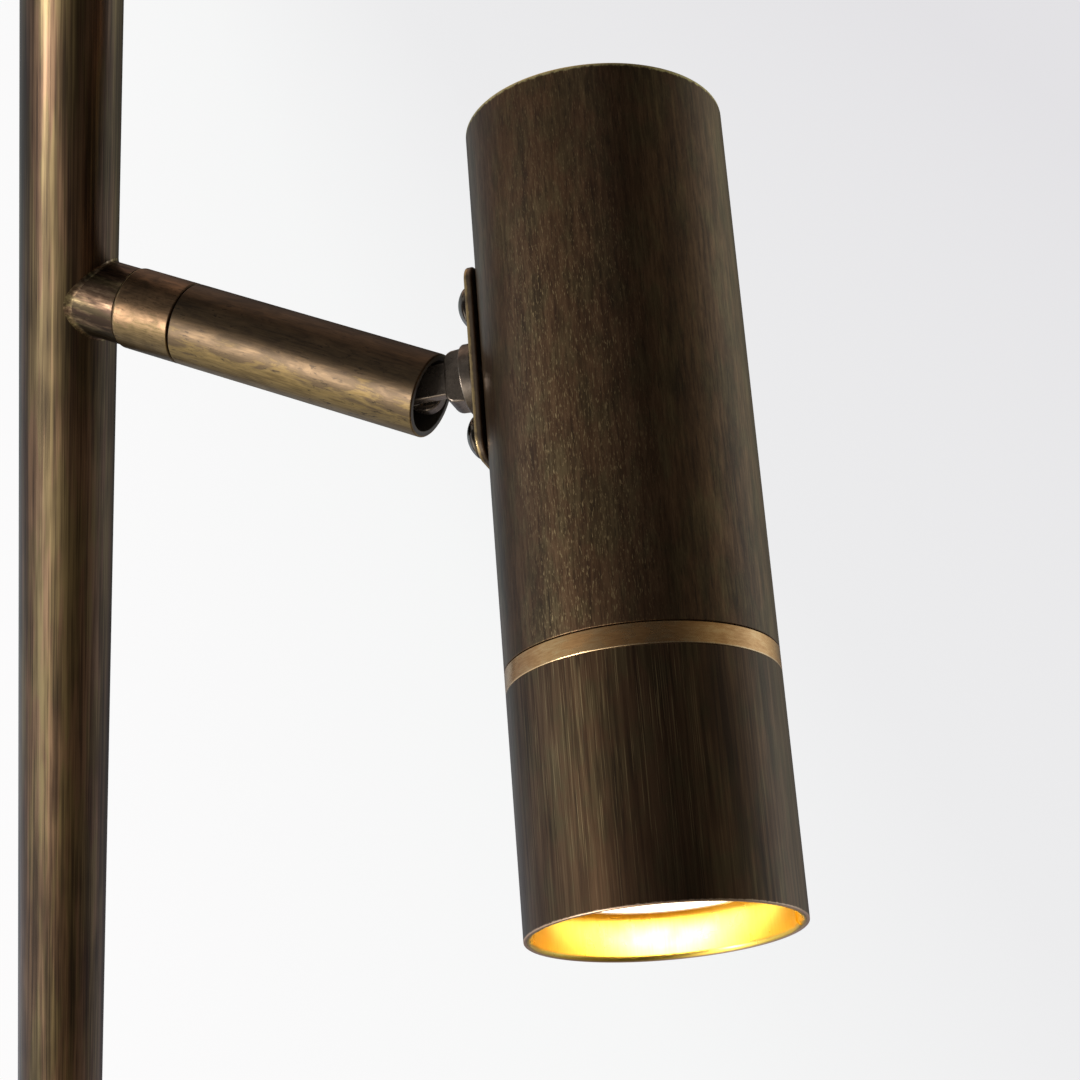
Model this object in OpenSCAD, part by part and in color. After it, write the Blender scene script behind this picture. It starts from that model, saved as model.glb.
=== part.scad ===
// Tension pole lamp: a floor-to-ceiling pole with one swivelling spot on a short side arm.
// Millimetres, +Z up the pole, arm along +X, origin at the centre of the floor pad's face.

/* [Pole] */
// Outside diameter of the pole's fixed tubes
pole_d = 24; // [22:0.5:28]
// Wall of the fixed tubes
pole_wall = 1.5; // [1:0.1:2]
// Height of the joint between the two fixed tubes
joint_z = 1000; // [800:10:1200]
// Height of the fixed pole's top end
pole_top_z = 1960; // [1800:10:2100]
// Length of the sleeve inside the pole joint
joiner_len = 100; // [60:5:160]
// Wall of the sleeve inside the pole joint
joiner_wall = 2; // [1.5:0.1:2.5]
// Diameter of the countersunk screws in the pole joint
joiner_screw_d = 3; // [2.5:0.5:4]

/* [Foot and ceiling cup] */
// Outside diameter of the rubber pads
pad_d = 56; // [50:1:70]
// Thickness of the rubber pads
pad_h = 9; // [7:0.5:12]
// Thickness of rubber under the foot's flange
pad_floor = 4; // [3:0.5:5]
// Width of the rubber lip round a flange
pad_lip = 2; // [1.5:0.25:4]
// Thickness of the foot's and the ceiling cup's flanges
flange_h = 6; // [5:0.5:8]
// Height of the foot's hub above its flange
foot_hub_h = 30; // [24:1:45]
// Wall of the foot's hub round the pole
foot_hub_wall = 3.5; // [3:0.25:5]
// Height of the ceiling cup's hub
cup_hub_h = 14; // [12:1:16]
// Wall of the ceiling cup's hub round the plunger rod
cup_hub_wall = 4; // [3:0.25:6]
// Diameter of the grub screws
grub_d = 5; // [3:0.5:6]
// Metal left between the plunger rod's end and the ceiling
cup_wall = 2; // [1.5:0.25:3]

/* [Telescope and tension spring] */
// Outside diameter of the sliding tube
tele_d = 19; // [18:0.25:20]
// Wall of the sliding tube
tele_wall = 1.5; // [1:0.1:2]
// Length of the sliding tube
tele_len = 694; // [600:2:760]
// Length of the sliding tube inside the pole at rest
tele_inside = 320; // [300:5:360]
// Length of the nylon glide ring on the sliding tube's foot
glide_len = 12; // [8:1:20]
// Outside diameter of the collar at the pole's top
collar_d = 31; // [30:0.5:36]
// Height of the collar
collar_h = 32; // [28:1:44]
// Length of the collar over the pole
collar_grip = 24; // [20:1:32]
// Thickness of the guide bush's flange on the pole's end
bush_flange = 2; // [1.5:0.25:3]
// Diameter of the clamp screw
clamp_d = 6; // [5:0.5:8]
// Diameter of the clamp screw's knob
knob_d = 18; // [14:1:24]
// Thickness of the clamp screw's knob
knob_t = 10; // [8:1:14]
// Gap between the collar and the clamp screw's knob
knob_gap = 1; // [0.5:0.5:4]
// Number of flutes round the knob
flute_count = 16; // [8:1:20]
// Diameter of the cutter that makes a flute
flute_d = 2; // [1:0.25:3]
// Diameter of the plunger rod
rod_d = 10; // [8:0.5:11]
// Length of the plunger rod
rod_len = 91.3; // [88:0.1:96]
// Height of the guide plug's flange on the sliding tube's end
guide_flange = 3; // [2:0.5:4]
// Length of the guide plug inside the sliding tube
guide_len = 25; // [18:1:30]
// Thickness of the plunger's piston
piston_t = 6; // [4:0.5:8]
// Length of the tension spring at rest
spring_len = 118; // [110:1:130]
// Wire of the tension spring
spring_wire = 1.8; // [1.4:0.1:2]
// Number of curls of the tension spring
spring_curls = 12; // [9:1:14]
// Length of the spring's seat in the sliding tube
seat_len = 20; // [14:1:26]
// Diameter of the pin through the spring's seat
seat_pin_d = 4; // [3:0.5:5]

/* [Side arm] */
// Height of the arm's axis above the floor
arm_z = 1450; // [1200:10:1550]
// Outside diameter of the stub brazed to the pole
stub_d = 19.2; // [17:0.1:19.8]
// Distance from the pole's axis to the stub's end
stub_end = 19.7; // [18.5:0.1:24]
// Width of the brazed fillet at the stub's root
braze_w = 0.8; // [0.5:0.1:2]
// Outside diameter of the arm tube and its sleeve
arm_d = 20; // [20:0.1:24]
// Wall of the arm tube
arm_wall = 1.5; // [1:0.1:1.6]
// Distance from the pole's axis to the middle of the swivel's seam
seam_x = 36; // [34:0.5:44]
// Width of the swivel's seam
seam_gap = 0.4; // [0.3:0.05:0.6]
// Distance from the pole's axis to the arm's open end
arm_end = 103.2; // [98:0.2:130]
// Diameter of the threaded tube that carries the arm
nipple_d = 10; // [9:0.25:10.5]
// Bore of the threaded tube
nipple_bore = 7; // [6:0.25:7.5]
// Length of the arm's bearing bush
hub_len = 8; // [7:0.5:12]
// Width across the flats of the nut that holds the arm
arm_nut_af = 14; // [13:0.5:14.5]
// Thickness of the nut that holds the arm
arm_nut_t = 5; // [4:0.5:8]
// Swivel of the arm in the photograph, from the head standing upright
arm_turn = -40.88; // [-160:1:160]
// Swivel of the arm to each side before its stop pin meets the stop
arm_stop = 165; // [140:1:165]
// Diameter of the swivel's stop pin
stop_pin_d = 2; // [1.5:0.25:2]
// Length of the stop pin beyond the sleeve's end
stop_pin_len = 2.4; // [1.5:0.1:4]
// Length of the stop pin inside the sleeve
stop_pin_root = 5; // [3:0.5:8]
// Thickness of the washer under the arm's nut
washer_t = 0.8; // [0.5:0.1:1.5]
// Length of thread that shows past the arm's nut
thread_end = 1; // [0.5:0.5:3]
// Length of the plug that holds the knuckle's stem in the arm
plug_len = 14; // [8:1:20]

/* [Knuckle] */
// Depth of the knuckle's pivot inside the arm's mouth
pivot_depth = 4.77; // [4.5:0.1:5.2]
// Distance from the pivot to the head's axis
pivot_reach = 48; // [48:0.25:56]
// Height of the knuckle and its base below the head's top end
stem_drop = 57.6; // [54:0.2:66]
// Tilt of the head in the photograph, from square to the arm
head_tilt = 27.15; // [-28:0.25:28]
// Thickness of each knuckle tongue
tongue_t = 3.1; // [2.6:0.1:3.1]
// Height of the knuckle tongues
tongue_h = 8; // [7:0.25:8]
// Reach of the arm's tongue past the pivot to the middle of its round end
tongue_past = 3; // [0:0.25:3]
// Gap between the two tongues
tongue_gap = 0.7; // [0.6:0.05:0.8]
// Height of the knuckle's block
block_h = 13; // [11:0.25:13]
// Width of the knuckle's block
block_w = 8; // [7:0.25:9]
// Radius of the knuckle block's corners towards the arm
block_r = 2.5; // [2:0.25:3]
// Length of the knuckle's block
block_len = 4.6; // [3.5:0.1:5]
// Diameter of the knuckle's base disc
base_d = 16.6; // [15:0.1:18]
// Thickness of the knuckle's base disc
base_t = 3; // [2:0.25:3.5]
// Diameter of the round block on the arm's side of the knuckle
arm_block_d = 12.6; // [11:0.2:14]
// Length of the round block on the arm's side of the knuckle
arm_block_len = 2.5; // [2:0.25:5]
// Diameter of the knuckle's screw
hinge_d = 3; // [2.5:0.25:3]
// Diameter of the knuckle screw's head and width of its nut
hinge_head_d = 5.4; // [5:0.1:6]
// Thickness of the knuckle screw's head
hinge_head_t = 1.8; // [1.2:0.1:2]
// Thickness of the knuckle's nut
hinge_nut_t = 2.1; // [1.5:0.1:2.4]
// Bore for the lead through the knuckle
knuckle_bore = 4.4; // [4:0.1:4.6]
// Outside diameter of the knuckle's hollow stems
stem_d = 8; // [7:0.25:9]
// Width across the flats of the lock nut inside the head
stem_nut_af = 13; // [11:0.5:14]
// Thickness of the lock nut inside the head
stem_nut_t = 4; // [3:0.5:6]

/* [Mount plate] */
// Length of plate left beyond each screw's head
plate_edge = 4.2; // [3:0.1:8]
// Width of the mount plate
plate_w = 17; // [14:0.5:18]
// Corner radius of the mount plate
plate_corner = 5; // [2:0.25:6.5]
// Thickness of the mount plate
plate_t = 1.8; // [1.5:0.1:2.4]
// Gap between the knuckle's base disc and the lower screw's head
screw_gap = 0.35; // [0.3:0.05:2]
// Distance between the plate's two screws
screw_pitch = 31.5; // [30:0.5:36]
// Diameter of the plate's screws
screw_d = 4; // [3:0.5:4]
// Diameter of the plate's screw heads
screw_head_d = 8.6; // [7:0.1:9.6]
// Height of the plate's domed screw heads
screw_head_t = 3.4; // [2:0.1:3.5]
// Length of the plate's screws past the bracket inside
screw_tip_len = 3; // [2:0.5:6]

/* [Spot head] */
// Outside diameter of the head's tubes
head_d = 60; // [57:0.5:64]
// Wall of the head's tubes
head_wall = 1.5; // [1:0.1:1.6]
// Length of the upper housing tube
housing_len = 132; // [124:1:140]
// Width of the copper band between the tubes
band_w = 5; // [3:0.5:8]
// Length of the lower shade tube
shade_len = 54; // [50:1:70]
// Length of the band's inner sleeve in each tube
band_grip = 10; // [6:1:12]
// Thickness of the band's inner sleeve
band_sleeve_t = 1.2; // [0.8:0.1:1.4]
// Depth of the top cap below the tube's end
cap_recess = 3; // [2:0.5:6]
// Height of the top cap's skirt
cap_skirt = 9; // [6:0.5:14]
// Thickness of the top cap
cap_t = 1.2; // [1:0.1:2]
// Number of air slots in the top cap
vent_count = 8; // [4:1:10]
// Length of each air slot
vent_len = 7; // [4:0.5:9]
// Width of each air slot
vent_w = 3; // [1.5:0.25:4]
// Distance from the cap's edge to the slots
vent_edge = 7; // [4:0.5:9]
// Thickness of the gold liner's sheet
liner_t = 0.4; // [0.3:0.05:0.6]
// Distance of the liner's edge from the shade's rim
liner_inset = 1; // [0.5:0.25:3]
// Gap between the liner's two ends, in degrees
liner_seam = 3; // [2:0.5:8]

/* [Lamp and holder] */
// Depth of the lamp's glass face inside the shade's rim
lens_depth = 9.5; // [8:0.5:20]
// Diameter of the reflector lamp
lamp_d = 50; // [46:0.5:50]
// Length of the reflector lamp without its pins
lamp_len = 54; // [48:1:56]
// Diameter of the lamp's ceramic base
lamp_base_d = 27; // [24:0.5:29]
// Length of the lamp's ceramic base
lamp_base_len = 18; // [14:1:20]
// Thickness of the lamp's front glass
lens_t = 2; // [1.5:0.25:3]
// Width of the reflector's rim beside the front glass
lens_rim = 1.5; // [1:0.1:2]
// Depth of the lamp's straight rim
lamp_rim_len = 4; // [3:0.5:6]
// Distance between the lamp's two pins
pin_pitch = 10; // [9:0.5:11]
// Diameter of the lamp's pins
pin_d = 3; // [2.5:0.1:3.2]
// Length of the lamp's pins beyond its base
pin_len = 6; // [4:0.5:8]
// Diameter of the lamp holder
holder_d = 30; // [28:0.5:34]
// Height of the lamp holder
holder_h = 16; // [13:0.5:20]
// Width of the bracket that carries the holder
bracket_w = 16; // [15:0.5:20]
// Thickness of the bracket
bracket_t = 1.5; // [1.2:0.1:2]
// Diameter of the screws that hold the lamp holder
holder_screw_d = 3; // [2.5:0.25:3.5]
// Diameter of those screws' heads
holder_screw_head_d = 5.2; // [4.5:0.1:6]
// Length of those screws in the holder
holder_screw_len = 5.5; // [4:0.5:9]
// Side of the terminal block above the bracket
block_side = 16; // [14:0.5:18]
// Height of the terminal block
block_rise = 13; // [10:0.5:16]
// Diameter of the terminal block's screws
terminal_screw_d = 3; // [2.5:0.25:3.5]
// Diameter of the internal lead
lead_d = 3.6; // [3:0.1:3.8]
// Diameter of the lead's cores
core_d = 2; // [1.5:0.1:2.4]

/* [Cord inlet] */
// Height of the cord's inlet above the floor
inlet_z = 72; // [60:1:90]
// Bore of the inlet's grommet
inlet_bore = 7; // [6:0.25:7.5]
// Wall of the grommet in the pole
grommet_wall = 1.5; // [1:0.1:2]
// Width of the grommet's lips beyond its wall
grommet_lip = 2; // [1:0.25:2.5]
// Length of the grommet outside the pole
grommet_out = 3.5; // [2.5:0.25:6]
// Height of the terminal plug's foot above the inlet
inlet_plug_rise = 19; // [12:1:30]
// Length of the terminal plug in the pole
inlet_plug_len = 30; // [20:1:40]

/* [Hidden] */
$fn = 64;
hull_fn = 32;
fit = 0.05;
near = 0.3;
eps = 0.01;
over = 1;

pole_r = pole_d / 2;
pole_bore = pole_r - pole_wall;
pole_foot_z = pad_floor + flange_h;
flange_r = pad_d / 2 - pad_lip;
hub_z = pole_foot_z + foot_hub_h;

tele_r = tele_d / 2;
tele_bore = tele_r - tele_wall;
tele_low = pole_top_z - tele_inside;
tele_top = tele_low + tele_len;
bush_r = pole_bore - fit;
bush_bore = tele_r + 2 * fit;
bush_len = collar_grip + glide_len;
joiner_screw_r = joiner_screw_d / 2;
joiner_head = 1.1;
collar_z = pole_top_z - collar_grip;
collar_r = collar_d / 2;
clamp_z = collar_z + collar_grip / 2;
clamp_r = clamp_d / 2;
clamp_clear = clamp_r + near;
knob_y = collar_r + knob_gap;
flute_r = flute_d / 2;

rod_r = rod_d / 2;
guide_low = tele_top - guide_len;
piston_top = guide_low - near;
rod_low = piston_top - piston_t;
rod_top = rod_low + rod_len;
cup_top = rod_top + cup_wall;
cup_low = cup_top - flange_h;
cup_hub_low = cup_low - cup_hub_h;
cup_hub_r = rod_r + cup_hub_wall;
ceiling_z = cup_top + pad_floor;
piston_r = tele_bore - near;
spring_low = rod_low - spring_len;
spring_mid_r = piston_r - near - spring_wire / 2;
spring_rings = 8;
spring_sides = 6;
spring_end_pitch = spring_wire + 2 * near;

stub_r = stub_d / 2;
arm_r = arm_d / 2;
arm_bore = arm_r - arm_wall;
seam_low = seam_x - seam_gap / 2;
seam_high = seam_x + seam_gap / 2;
nipple_r = nipple_d / 2;
nipple_low = pole_r + over;
bead_stub_r = stub_r + fit;
bead_pole_r = pole_r + 2 * fit;
bead_w = min(braze_w, (bead_pole_r - bead_stub_r) * 0.7);
bead_stations = 64;
bead_steps = 4;
hub_end = seam_high + hub_len;
washer_end = hub_end + fit + washer_t;
nut_end = washer_end + arm_nut_t;
nipple_end = nut_end + thread_end;
stop_ring_r = (nipple_r + arm_bore) / 2;
stop_groove = stop_pin_len - seam_gap + near;
stop_groove_w = stop_pin_d + near;
stop_half_block = 180 - arm_stop - asin((stop_pin_d / 2 + fit) / stop_ring_r);
wire_hole_r = nipple_r + fit;

pivot_x = arm_end - pivot_depth;
head_r = head_d / 2;
head_bore = head_r - head_wall;
tongue_in = tongue_gap / 2;
tongue_out = tongue_in + tongue_t;
tongue_r = tongue_h / 2;
hinge_r = hinge_d / 2;
hinge_washer_t = tongue_gap - 2 * fit;
plate_out = pivot_reach - head_r - plate_t;
base_out = plate_out - base_t;
block_out = base_out - block_len;
arm_block_x = -tongue_r - near;
plug_x = arm_block_x - arm_block_len;
stem_r = stem_d / 2;

strap_r = head_bore - fit;
strap_in = strap_r - bracket_t;
strap_half = asin(bracket_w / 2 / strap_r);
shell_stack = plate_t + head_wall + fit + bracket_t;
stem_seat = sqrt(pow(strap_in, 2) - pow(stem_nut_af / 2, 2)) - fit;
stem_end = stem_seat - stem_nut_t - thread_end;
screw_low = -base_d / 2 - screw_gap - screw_head_d / 2;
plate_mid = screw_low + screw_pitch / 2 - stem_drop;
plate_len = screw_pitch + screw_head_d + 2 * plate_edge;
screw_r = screw_d / 2;
screw_tip = strap_in - screw_tip_len;

rim_z = housing_len + band_w + shade_len;
lens_z = rim_z - lens_depth;
lamp_r = lamp_d / 2;
lamp_top = lens_z - lamp_len;
holder_top = lamp_top - holder_h;
shelf_top = holder_top - bracket_t;
holder_r = holder_d / 2;
holder_screw_r = holder_screw_d / 2;
holder_screw_head_r = holder_screw_head_d / 2;
holder_screw_head_t = 2;
lamp_base_r = lamp_base_d / 2;
pin_r = pin_d / 2;
pin_root = 4;
lead_r = lead_d / 2;
lead_bend = 12;
lead_drop_bend = 6;
core_r = core_d / 2;
core_gap = 4;
core_bend = 4;
block_floor = -shelf_top + fit;
block_top = block_floor + block_rise;
holder_screw_y = block_side / 2 + holder_screw_head_r + near;
terminal_x = -4;
terminal_screw_r = terminal_screw_d / 2;
terminal_screw_t = 2.5;
terminal_depth = 3;
cores_x = terminal_x + block_side / 2;
liner_r = head_bore - fit;
cap_r = head_bore - fit;
grommet_r = inlet_bore / 2 + grommet_wall;
inlet_plug_z = inlet_z + inlet_plug_rise;

// ---- Frames and repeated shapes ----

// Arm frame: X along the arm, Z up when the head stands upright
module at_arm() {
    translate([0, 0, arm_z]) rotate([arm_turn, 0, 0]) children();
}

// Knuckle frame: origin at the pivot, X towards the head, Y along the hinge
module at_knuckle() {
    at_arm() translate([pivot_x, 0, 0]) rotate([0, -head_tilt, 0]) children();
}

// Head frame: Z along the head's axis, origin at its top end
module at_head() {
    at_knuckle() translate([pivot_reach, 0, stem_drop]) children();
}

// Cylinder lying along X from one place to another
module bar_x(x0, x1, r) {
    translate([x0, 0, 0]) rotate([0, 90, 0]) cylinder(h = x1 - x0, r = r);
}

// Ring from one height to another
module tube_z(z0, z1, r_out, r_in) {
    translate([0, 0, z0]) difference() {
        cylinder(h = z1 - z0, r = r_out);
        translate([0, 0, -eps]) cylinder(h = z1 - z0 + 2 * eps, r = r_in);
    }
}

// Ring lying along X
module tube_x(x0, x1, r_out, r_in) {
    difference() {
        bar_x(x0, x1, r_out);
        bar_x(x0 - eps, x1 + eps, r_in);
    }
}

// Six-sided nut along X with a round hole
module nut_x(x0, x1, flats, hole_r) {
    difference() {
        translate([x0, 0, 0]) rotate([0, 90, 0]) cylinder(h = x1 - x0, d = flats / cos(30), $fn = 6);
        bar_x(x0 - eps, x1 + eps, hole_r);
    }
}

// Socket set screw along X, its hexagon socket at the low end
module grub_x(x0, x1) {
    difference() {
        bar_x(x0, x1, grub_d / 2);
        translate([x0 - eps, 0, 0]) rotate([0, 90, 0]) cylinder(h = grub_d / 2, d = grub_d / 2, $fn = 6);
    }
}

// ---- Foot, fixed pole and cord inlet ----

// Rubber pad with a lip round the flange that sits in it, its sole at the bottom
module pad() {
    difference() {
        cylinder(h = pad_h, r = pad_d / 2);
        translate([0, 0, pad_floor]) cylinder(h = pad_h, r = flange_r + fit);
    }
}

module floor_pad() {
    color("#22201f") pad();
}

// Turned foot: a flange in the pad and a hub that the pole stands in
module floor_foot() {
    hub_r = pole_r + foot_hub_wall;
    grub_z = pole_foot_z + foot_hub_h / 2;
    color("#6b5840") difference() {
        union() {
            translate([0, 0, pad_floor]) cylinder(h = flange_h, r = flange_r);
            translate([0, 0, pole_foot_z - eps]) cylinder(h = foot_hub_h, r = hub_r);
        }
        translate([0, 0, pole_foot_z]) cylinder(h = foot_hub_h + over, r = pole_r + fit);
        translate([0, 0, grub_z]) bar_x(-hub_r - over, 0, grub_d / 2 + fit);
    }
}

module foot_grub_screw() {
    color("#3a3733") translate([0, 0, pole_foot_z + foot_hub_h / 2])
        grub_x(-pole_r - foot_hub_wall, -pole_r - 2 * fit);
}

// A countersunk joiner screw, or its hole, along X on the pole's back
module joiner_screw_at(z, end_x, grow) {
    translate([0, 0, z]) {
        bar_x(-pole_r - grow, end_x, joiner_screw_r + grow);
        translate([-pole_r - grow, 0, 0]) rotate([0, 90, 0])
            cylinder(h = joiner_head + grow, r1 = joiner_screw_r + grow + joiner_head, r2 = joiner_screw_r);
    }
}

// Height of each joiner screw
function joiner_screw_z(side) = joint_z + side * joiner_len / 4;

module lower_pole() {
    color("#5c4a38") difference() {
        tube_z(pole_foot_z, joint_z, pole_r, pole_bore);
        translate([0, 0, inlet_z]) bar_x(-pole_r - over, 0, grommet_r + fit);
        joiner_screw_at(joiner_screw_z(-1), 0, fit);
    }
}

module pole_joiner() {
    color("#8d8a84") difference() {
        tube_z(joint_z - joiner_len / 2, joint_z + joiner_len / 2, bush_r, bush_r - joiner_wall);
        for (side = [-1, 1]) joiner_screw_at(joiner_screw_z(side), 0, fit);
    }
}

module joiner_screws() {
    screw_end = -bush_r + joiner_wall - near;
    color("#4a4036") for (side = [-1, 1]) joiner_screw_at(joiner_screw_z(side), screw_end, 0);
}

// Upper fixed tube with holes for the arm's threaded tube and for the clamp screw
module upper_pole() {
    color("#5c4a38") difference() {
        tube_z(joint_z, pole_top_z, pole_r, pole_bore);
        joiner_screw_at(joiner_screw_z(1), 0, fit);
        translate([0, 0, arm_z]) bar_x(0, pole_r + over, wire_hole_r);
        translate([0, 0, clamp_z]) rotate([90, 0, 0]) cylinder(h = pole_r + over, r = clamp_clear);
    }
}

// Rubber grommet in the pole's wall
module cord_grommet() {
    color("#1d1c1b") translate([0, 0, inlet_z]) difference() {
        union() {
            bar_x(-pole_bore - near, -pole_bore + grommet_lip, grommet_r);
            difference() {
                bar_x(-pole_r - grommet_out, -pole_bore, grommet_r);
                translate([0, 0, -pole_r]) cylinder(h = pole_d, r = pole_bore + fit);
            }
            difference() {
                bar_x(-pole_r - grommet_out, -pole_r + grommet_lip, grommet_r + grommet_lip);
                translate([0, 0, -pole_r]) cylinder(h = pole_d, r = pole_r + fit);
            }
        }
        bar_x(-pole_r - grommet_out - over, 0, inlet_bore / 2);
    }
}

// Where the supply cord's cores would be clamped: a round plug that fits the pole
module inlet_terminal() {
    color("#d9d4c8") difference() {
        translate([0, 0, inlet_plug_z]) cylinder(h = inlet_plug_len, r = bush_r);
        for (y = [-core_gap, core_gap])
            translate([0, y, inlet_plug_z - over]) cylinder(h = inlet_plug_len / 2, r = core_r + 2 * near);
    }
}

// Lead from the inlet's terminal up the pole, through the swivel and along the arm
module pole_lead() {
    lead_z = inlet_plug_z + inlet_plug_len;
    color("#26231f") union() {
        translate([0, 0, lead_z]) cylinder(h = arm_z - lead_bend - lead_z + eps, r = lead_r);
        translate([lead_bend, 0, arm_z - lead_bend]) rotate([90, 0, 0]) rotate([0, 0, 90])
            rotate_extrude(angle = 90) translate([lead_bend, 0]) circle(r = lead_r);
        translate([0, 0, arm_z]) bar_x(lead_bend - eps, pivot_x + plug_x, lead_r);
    }
}

// ---- Swivel of the side arm ----

// Stub cut to the pole's round
module arm_stub() {
    color("#6d5a42") translate([0, 0, arm_z]) difference() {
        bar_x(0, stub_end, stub_r);
        translate([0, 0, -pole_d]) cylinder(h = 2 * pole_d, r = pole_r + fit);
        bar_x(0, stub_end + over, nipple_r + fit);
    }
}

// Where the bead's foot lies on the pole, at one distance and angle from the stub's axis
function bead_on_pole(r, a) = sqrt(pow(bead_pole_r, 2) - pow(r * cos(a), 2));

// Section of the braze bead at one angle round the stub: up the stub, down the pole, hollow face
function bead_section(a) =
    let (x0 = bead_on_pole(bead_stub_r, a),
         crest = [x0 + bead_w, bead_stub_r],
         foot = [bead_on_pole(bead_stub_r + bead_w, a), bead_stub_r + bead_w],
         waist = [x0 + bead_w / 4, bead_stub_r + bead_w / 4])
    concat([crest, [x0, bead_stub_r]],
        [for (k = [1 : bead_steps]) let (r = bead_stub_r + bead_w * k / bead_steps) [bead_on_pole(r, a), r]],
        [for (k = [1 : bead_steps - 1]) let (t = k / bead_steps)
            pow(1 - t, 2) * foot + 2 * t * (1 - t) * waist + pow(t, 2) * crest]);

// Bead of brazing metal round the stub's root, on the pole
module braze_bead() {
    count = 2 * bead_steps + 1;
    points = [for (i = [0 : bead_stations - 1]) let (a = 360 * i / bead_stations)
        each [for (q = bead_section(a)) [q.x, q.y * cos(a), arm_z + q.y * sin(a)]]];
    faces = [for (i = [0 : bead_stations - 1]) for (j = [0 : count - 1])
        let (a = i * count, b = (i + 1) % bead_stations * count, k = (j + 1) % count)
        each [[a + j, b + j, b + k], [a + j, b + k, a + k]]];
    color("#7d6748") polyhedron(points = points, faces = faces);
}

module swivel_sleeve() {
    chamfer = 0.6;
    color("#6d5a42") translate([0, 0, arm_z]) difference() {
        union() {
            bar_x(stub_end + chamfer, seam_low, arm_r);
            translate([stub_end, 0, 0]) rotate([0, 90, 0])
                cylinder(h = chamfer + eps, r1 = arm_r - chamfer, r2 = arm_r);
        }
        bar_x(stub_end - over, seam_low + over, nipple_r + fit);
        stop_pin_cut(fit);
    }
}

// The stop pin, or the hole it is pressed into
module stop_pin_cut(grow) {
    translate([0, 0, stop_ring_r])
        bar_x(seam_low - stop_pin_root - grow, seam_low + stop_pin_len, stop_pin_d / 2 + grow);
}

module stop_pin() {
    color("#9a968e") translate([0, 0, arm_z]) stop_pin_cut(0);
}

module swivel_nipple() {
    color("#a58a55") translate([0, 0, arm_z]) tube_x(nipple_low, nipple_end, nipple_r, nipple_bore / 2);
}

module swivel_washer() {
    color("#8d8a84") translate([0, 0, arm_z])
        tube_x(hub_end + fit, washer_end, arm_nut_af / 2, nipple_r + fit);
}

module swivel_nut() {
    color("#a58a55") translate([0, 0, arm_z]) nut_x(washer_end, nut_end, arm_nut_af, nipple_r + fit);
}

// ---- Clamp collar and sliding tube ----

// Collar over the pole's top end, tapped for the clamp screw
module clamp_collar() {
    color("#6d5a42") difference() {
        translate([0, 0, collar_z]) cylinder(h = collar_h, r = collar_r);
        translate([0, 0, collar_z - over])
            cylinder(h = collar_grip + bush_flange + near + over, r = pole_r + fit);
        translate([0, 0, collar_z]) cylinder(h = collar_h + over, r = tele_r + near);
        translate([0, 0, clamp_z]) rotate([90, 0, 0]) cylinder(h = collar_d, r = clamp_r + fit);
    }
}

// Nylon bush that guides the sliding tube in the pole
module guide_bush() {
    color("#d8d3c6") difference() {
        union() {
            tube_z(pole_top_z - bush_len, pole_top_z + eps, bush_r, bush_bore);
            tube_z(pole_top_z, pole_top_z + bush_flange, pole_r, bush_bore);
        }
        translate([0, 0, clamp_z]) rotate([90, 0, 0]) cylinder(h = pole_d, r = clamp_clear);
    }
}

// Clamp screw with a fluted knob
module clamp_screw() {
    color("#b3884f") translate([0, 0, clamp_z]) rotate([90, 0, 0]) difference() {
        union() {
            translate([0, 0, tele_r + near]) cylinder(h = knob_y - tele_r, r = clamp_r);
            translate([0, 0, knob_y]) cylinder(h = knob_t, r = knob_d / 2);
        }
        for (i = [0 : flute_count - 1]) rotate([0, 0, i * 360 / flute_count])
            translate([knob_d / 2 + flute_r / 2, 0, knob_y - eps]) cylinder(h = knob_t + over, r = flute_r);
    }
}

module telescope_tube() {
    color("#6d5a42") difference() {
        tube_z(tele_low, tele_top, tele_r, tele_bore);
        seat_pin_at(fit);
    }
}

// Pin across the sliding tube, or its hole
module seat_pin_at(grow) {
    translate([0, 0, spring_low - seat_len / 2]) bar_x(-tele_r - grow, tele_r + grow, seat_pin_d / 2 + grow);
}

module glide_ring() {
    color("#d8d3c6") tube_z(tele_low, tele_low + glide_len, bush_r - fit, tele_r + fit);
}

module spring_seat() {
    color("#8d8a84") difference() {
        translate([0, 0, spring_low - seat_len]) cylinder(h = seat_len, r = tele_bore - fit);
        seat_pin_at(fit);
    }
}

module spring_seat_pin() {
    color("#9a968e") intersection() {
        seat_pin_at(0);
        translate([0, 0, spring_low - seat_len]) cylinder(h = seat_len, r = tele_r);
    }
}

module plunger_guide() {
    color("#d8d3c6") difference() {
        union() {
            translate([0, 0, guide_low]) cylinder(h = guide_len + eps, r = tele_bore - fit);
            translate([0, 0, tele_top]) cylinder(h = guide_flange, r = tele_r);
        }
        translate([0, 0, guide_low - over]) cylinder(h = guide_len + guide_flange + 2 * over, r = rod_r + fit);
    }
}

// ---- Spring plunger and ceiling cup ----

module plunger_rod() {
    color("#b9b6af") translate([0, 0, rod_low]) cylinder(h = rod_len, r = rod_r);
}

module plunger_piston() {
    color("#8d8a84") tube_z(rod_low, piston_top, piston_r, rod_r + fit);
}

// Height of the spring's centreline after a given share of its curls, with flat end curls
function spring_rise(turn) =
    let (body = spring_len - spring_wire - 2 * spring_end_pitch,
         last = spring_curls - 1,
         rise = turn < 1 ? turn * spring_end_pitch
            : turn > last ? body + (turn - last + 1) * spring_end_pitch
            : spring_end_pitch + (turn - 1) * body / (spring_curls - 2))
    rise + spring_wire / 2;

// Middle of the spring's wire at one ring
function spring_middle(i) =
    let (turn = i / spring_rings)
    [spring_mid_r * cos(360 * turn), spring_mid_r * sin(360 * turn), spring_low + spring_rise(turn)];

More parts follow.
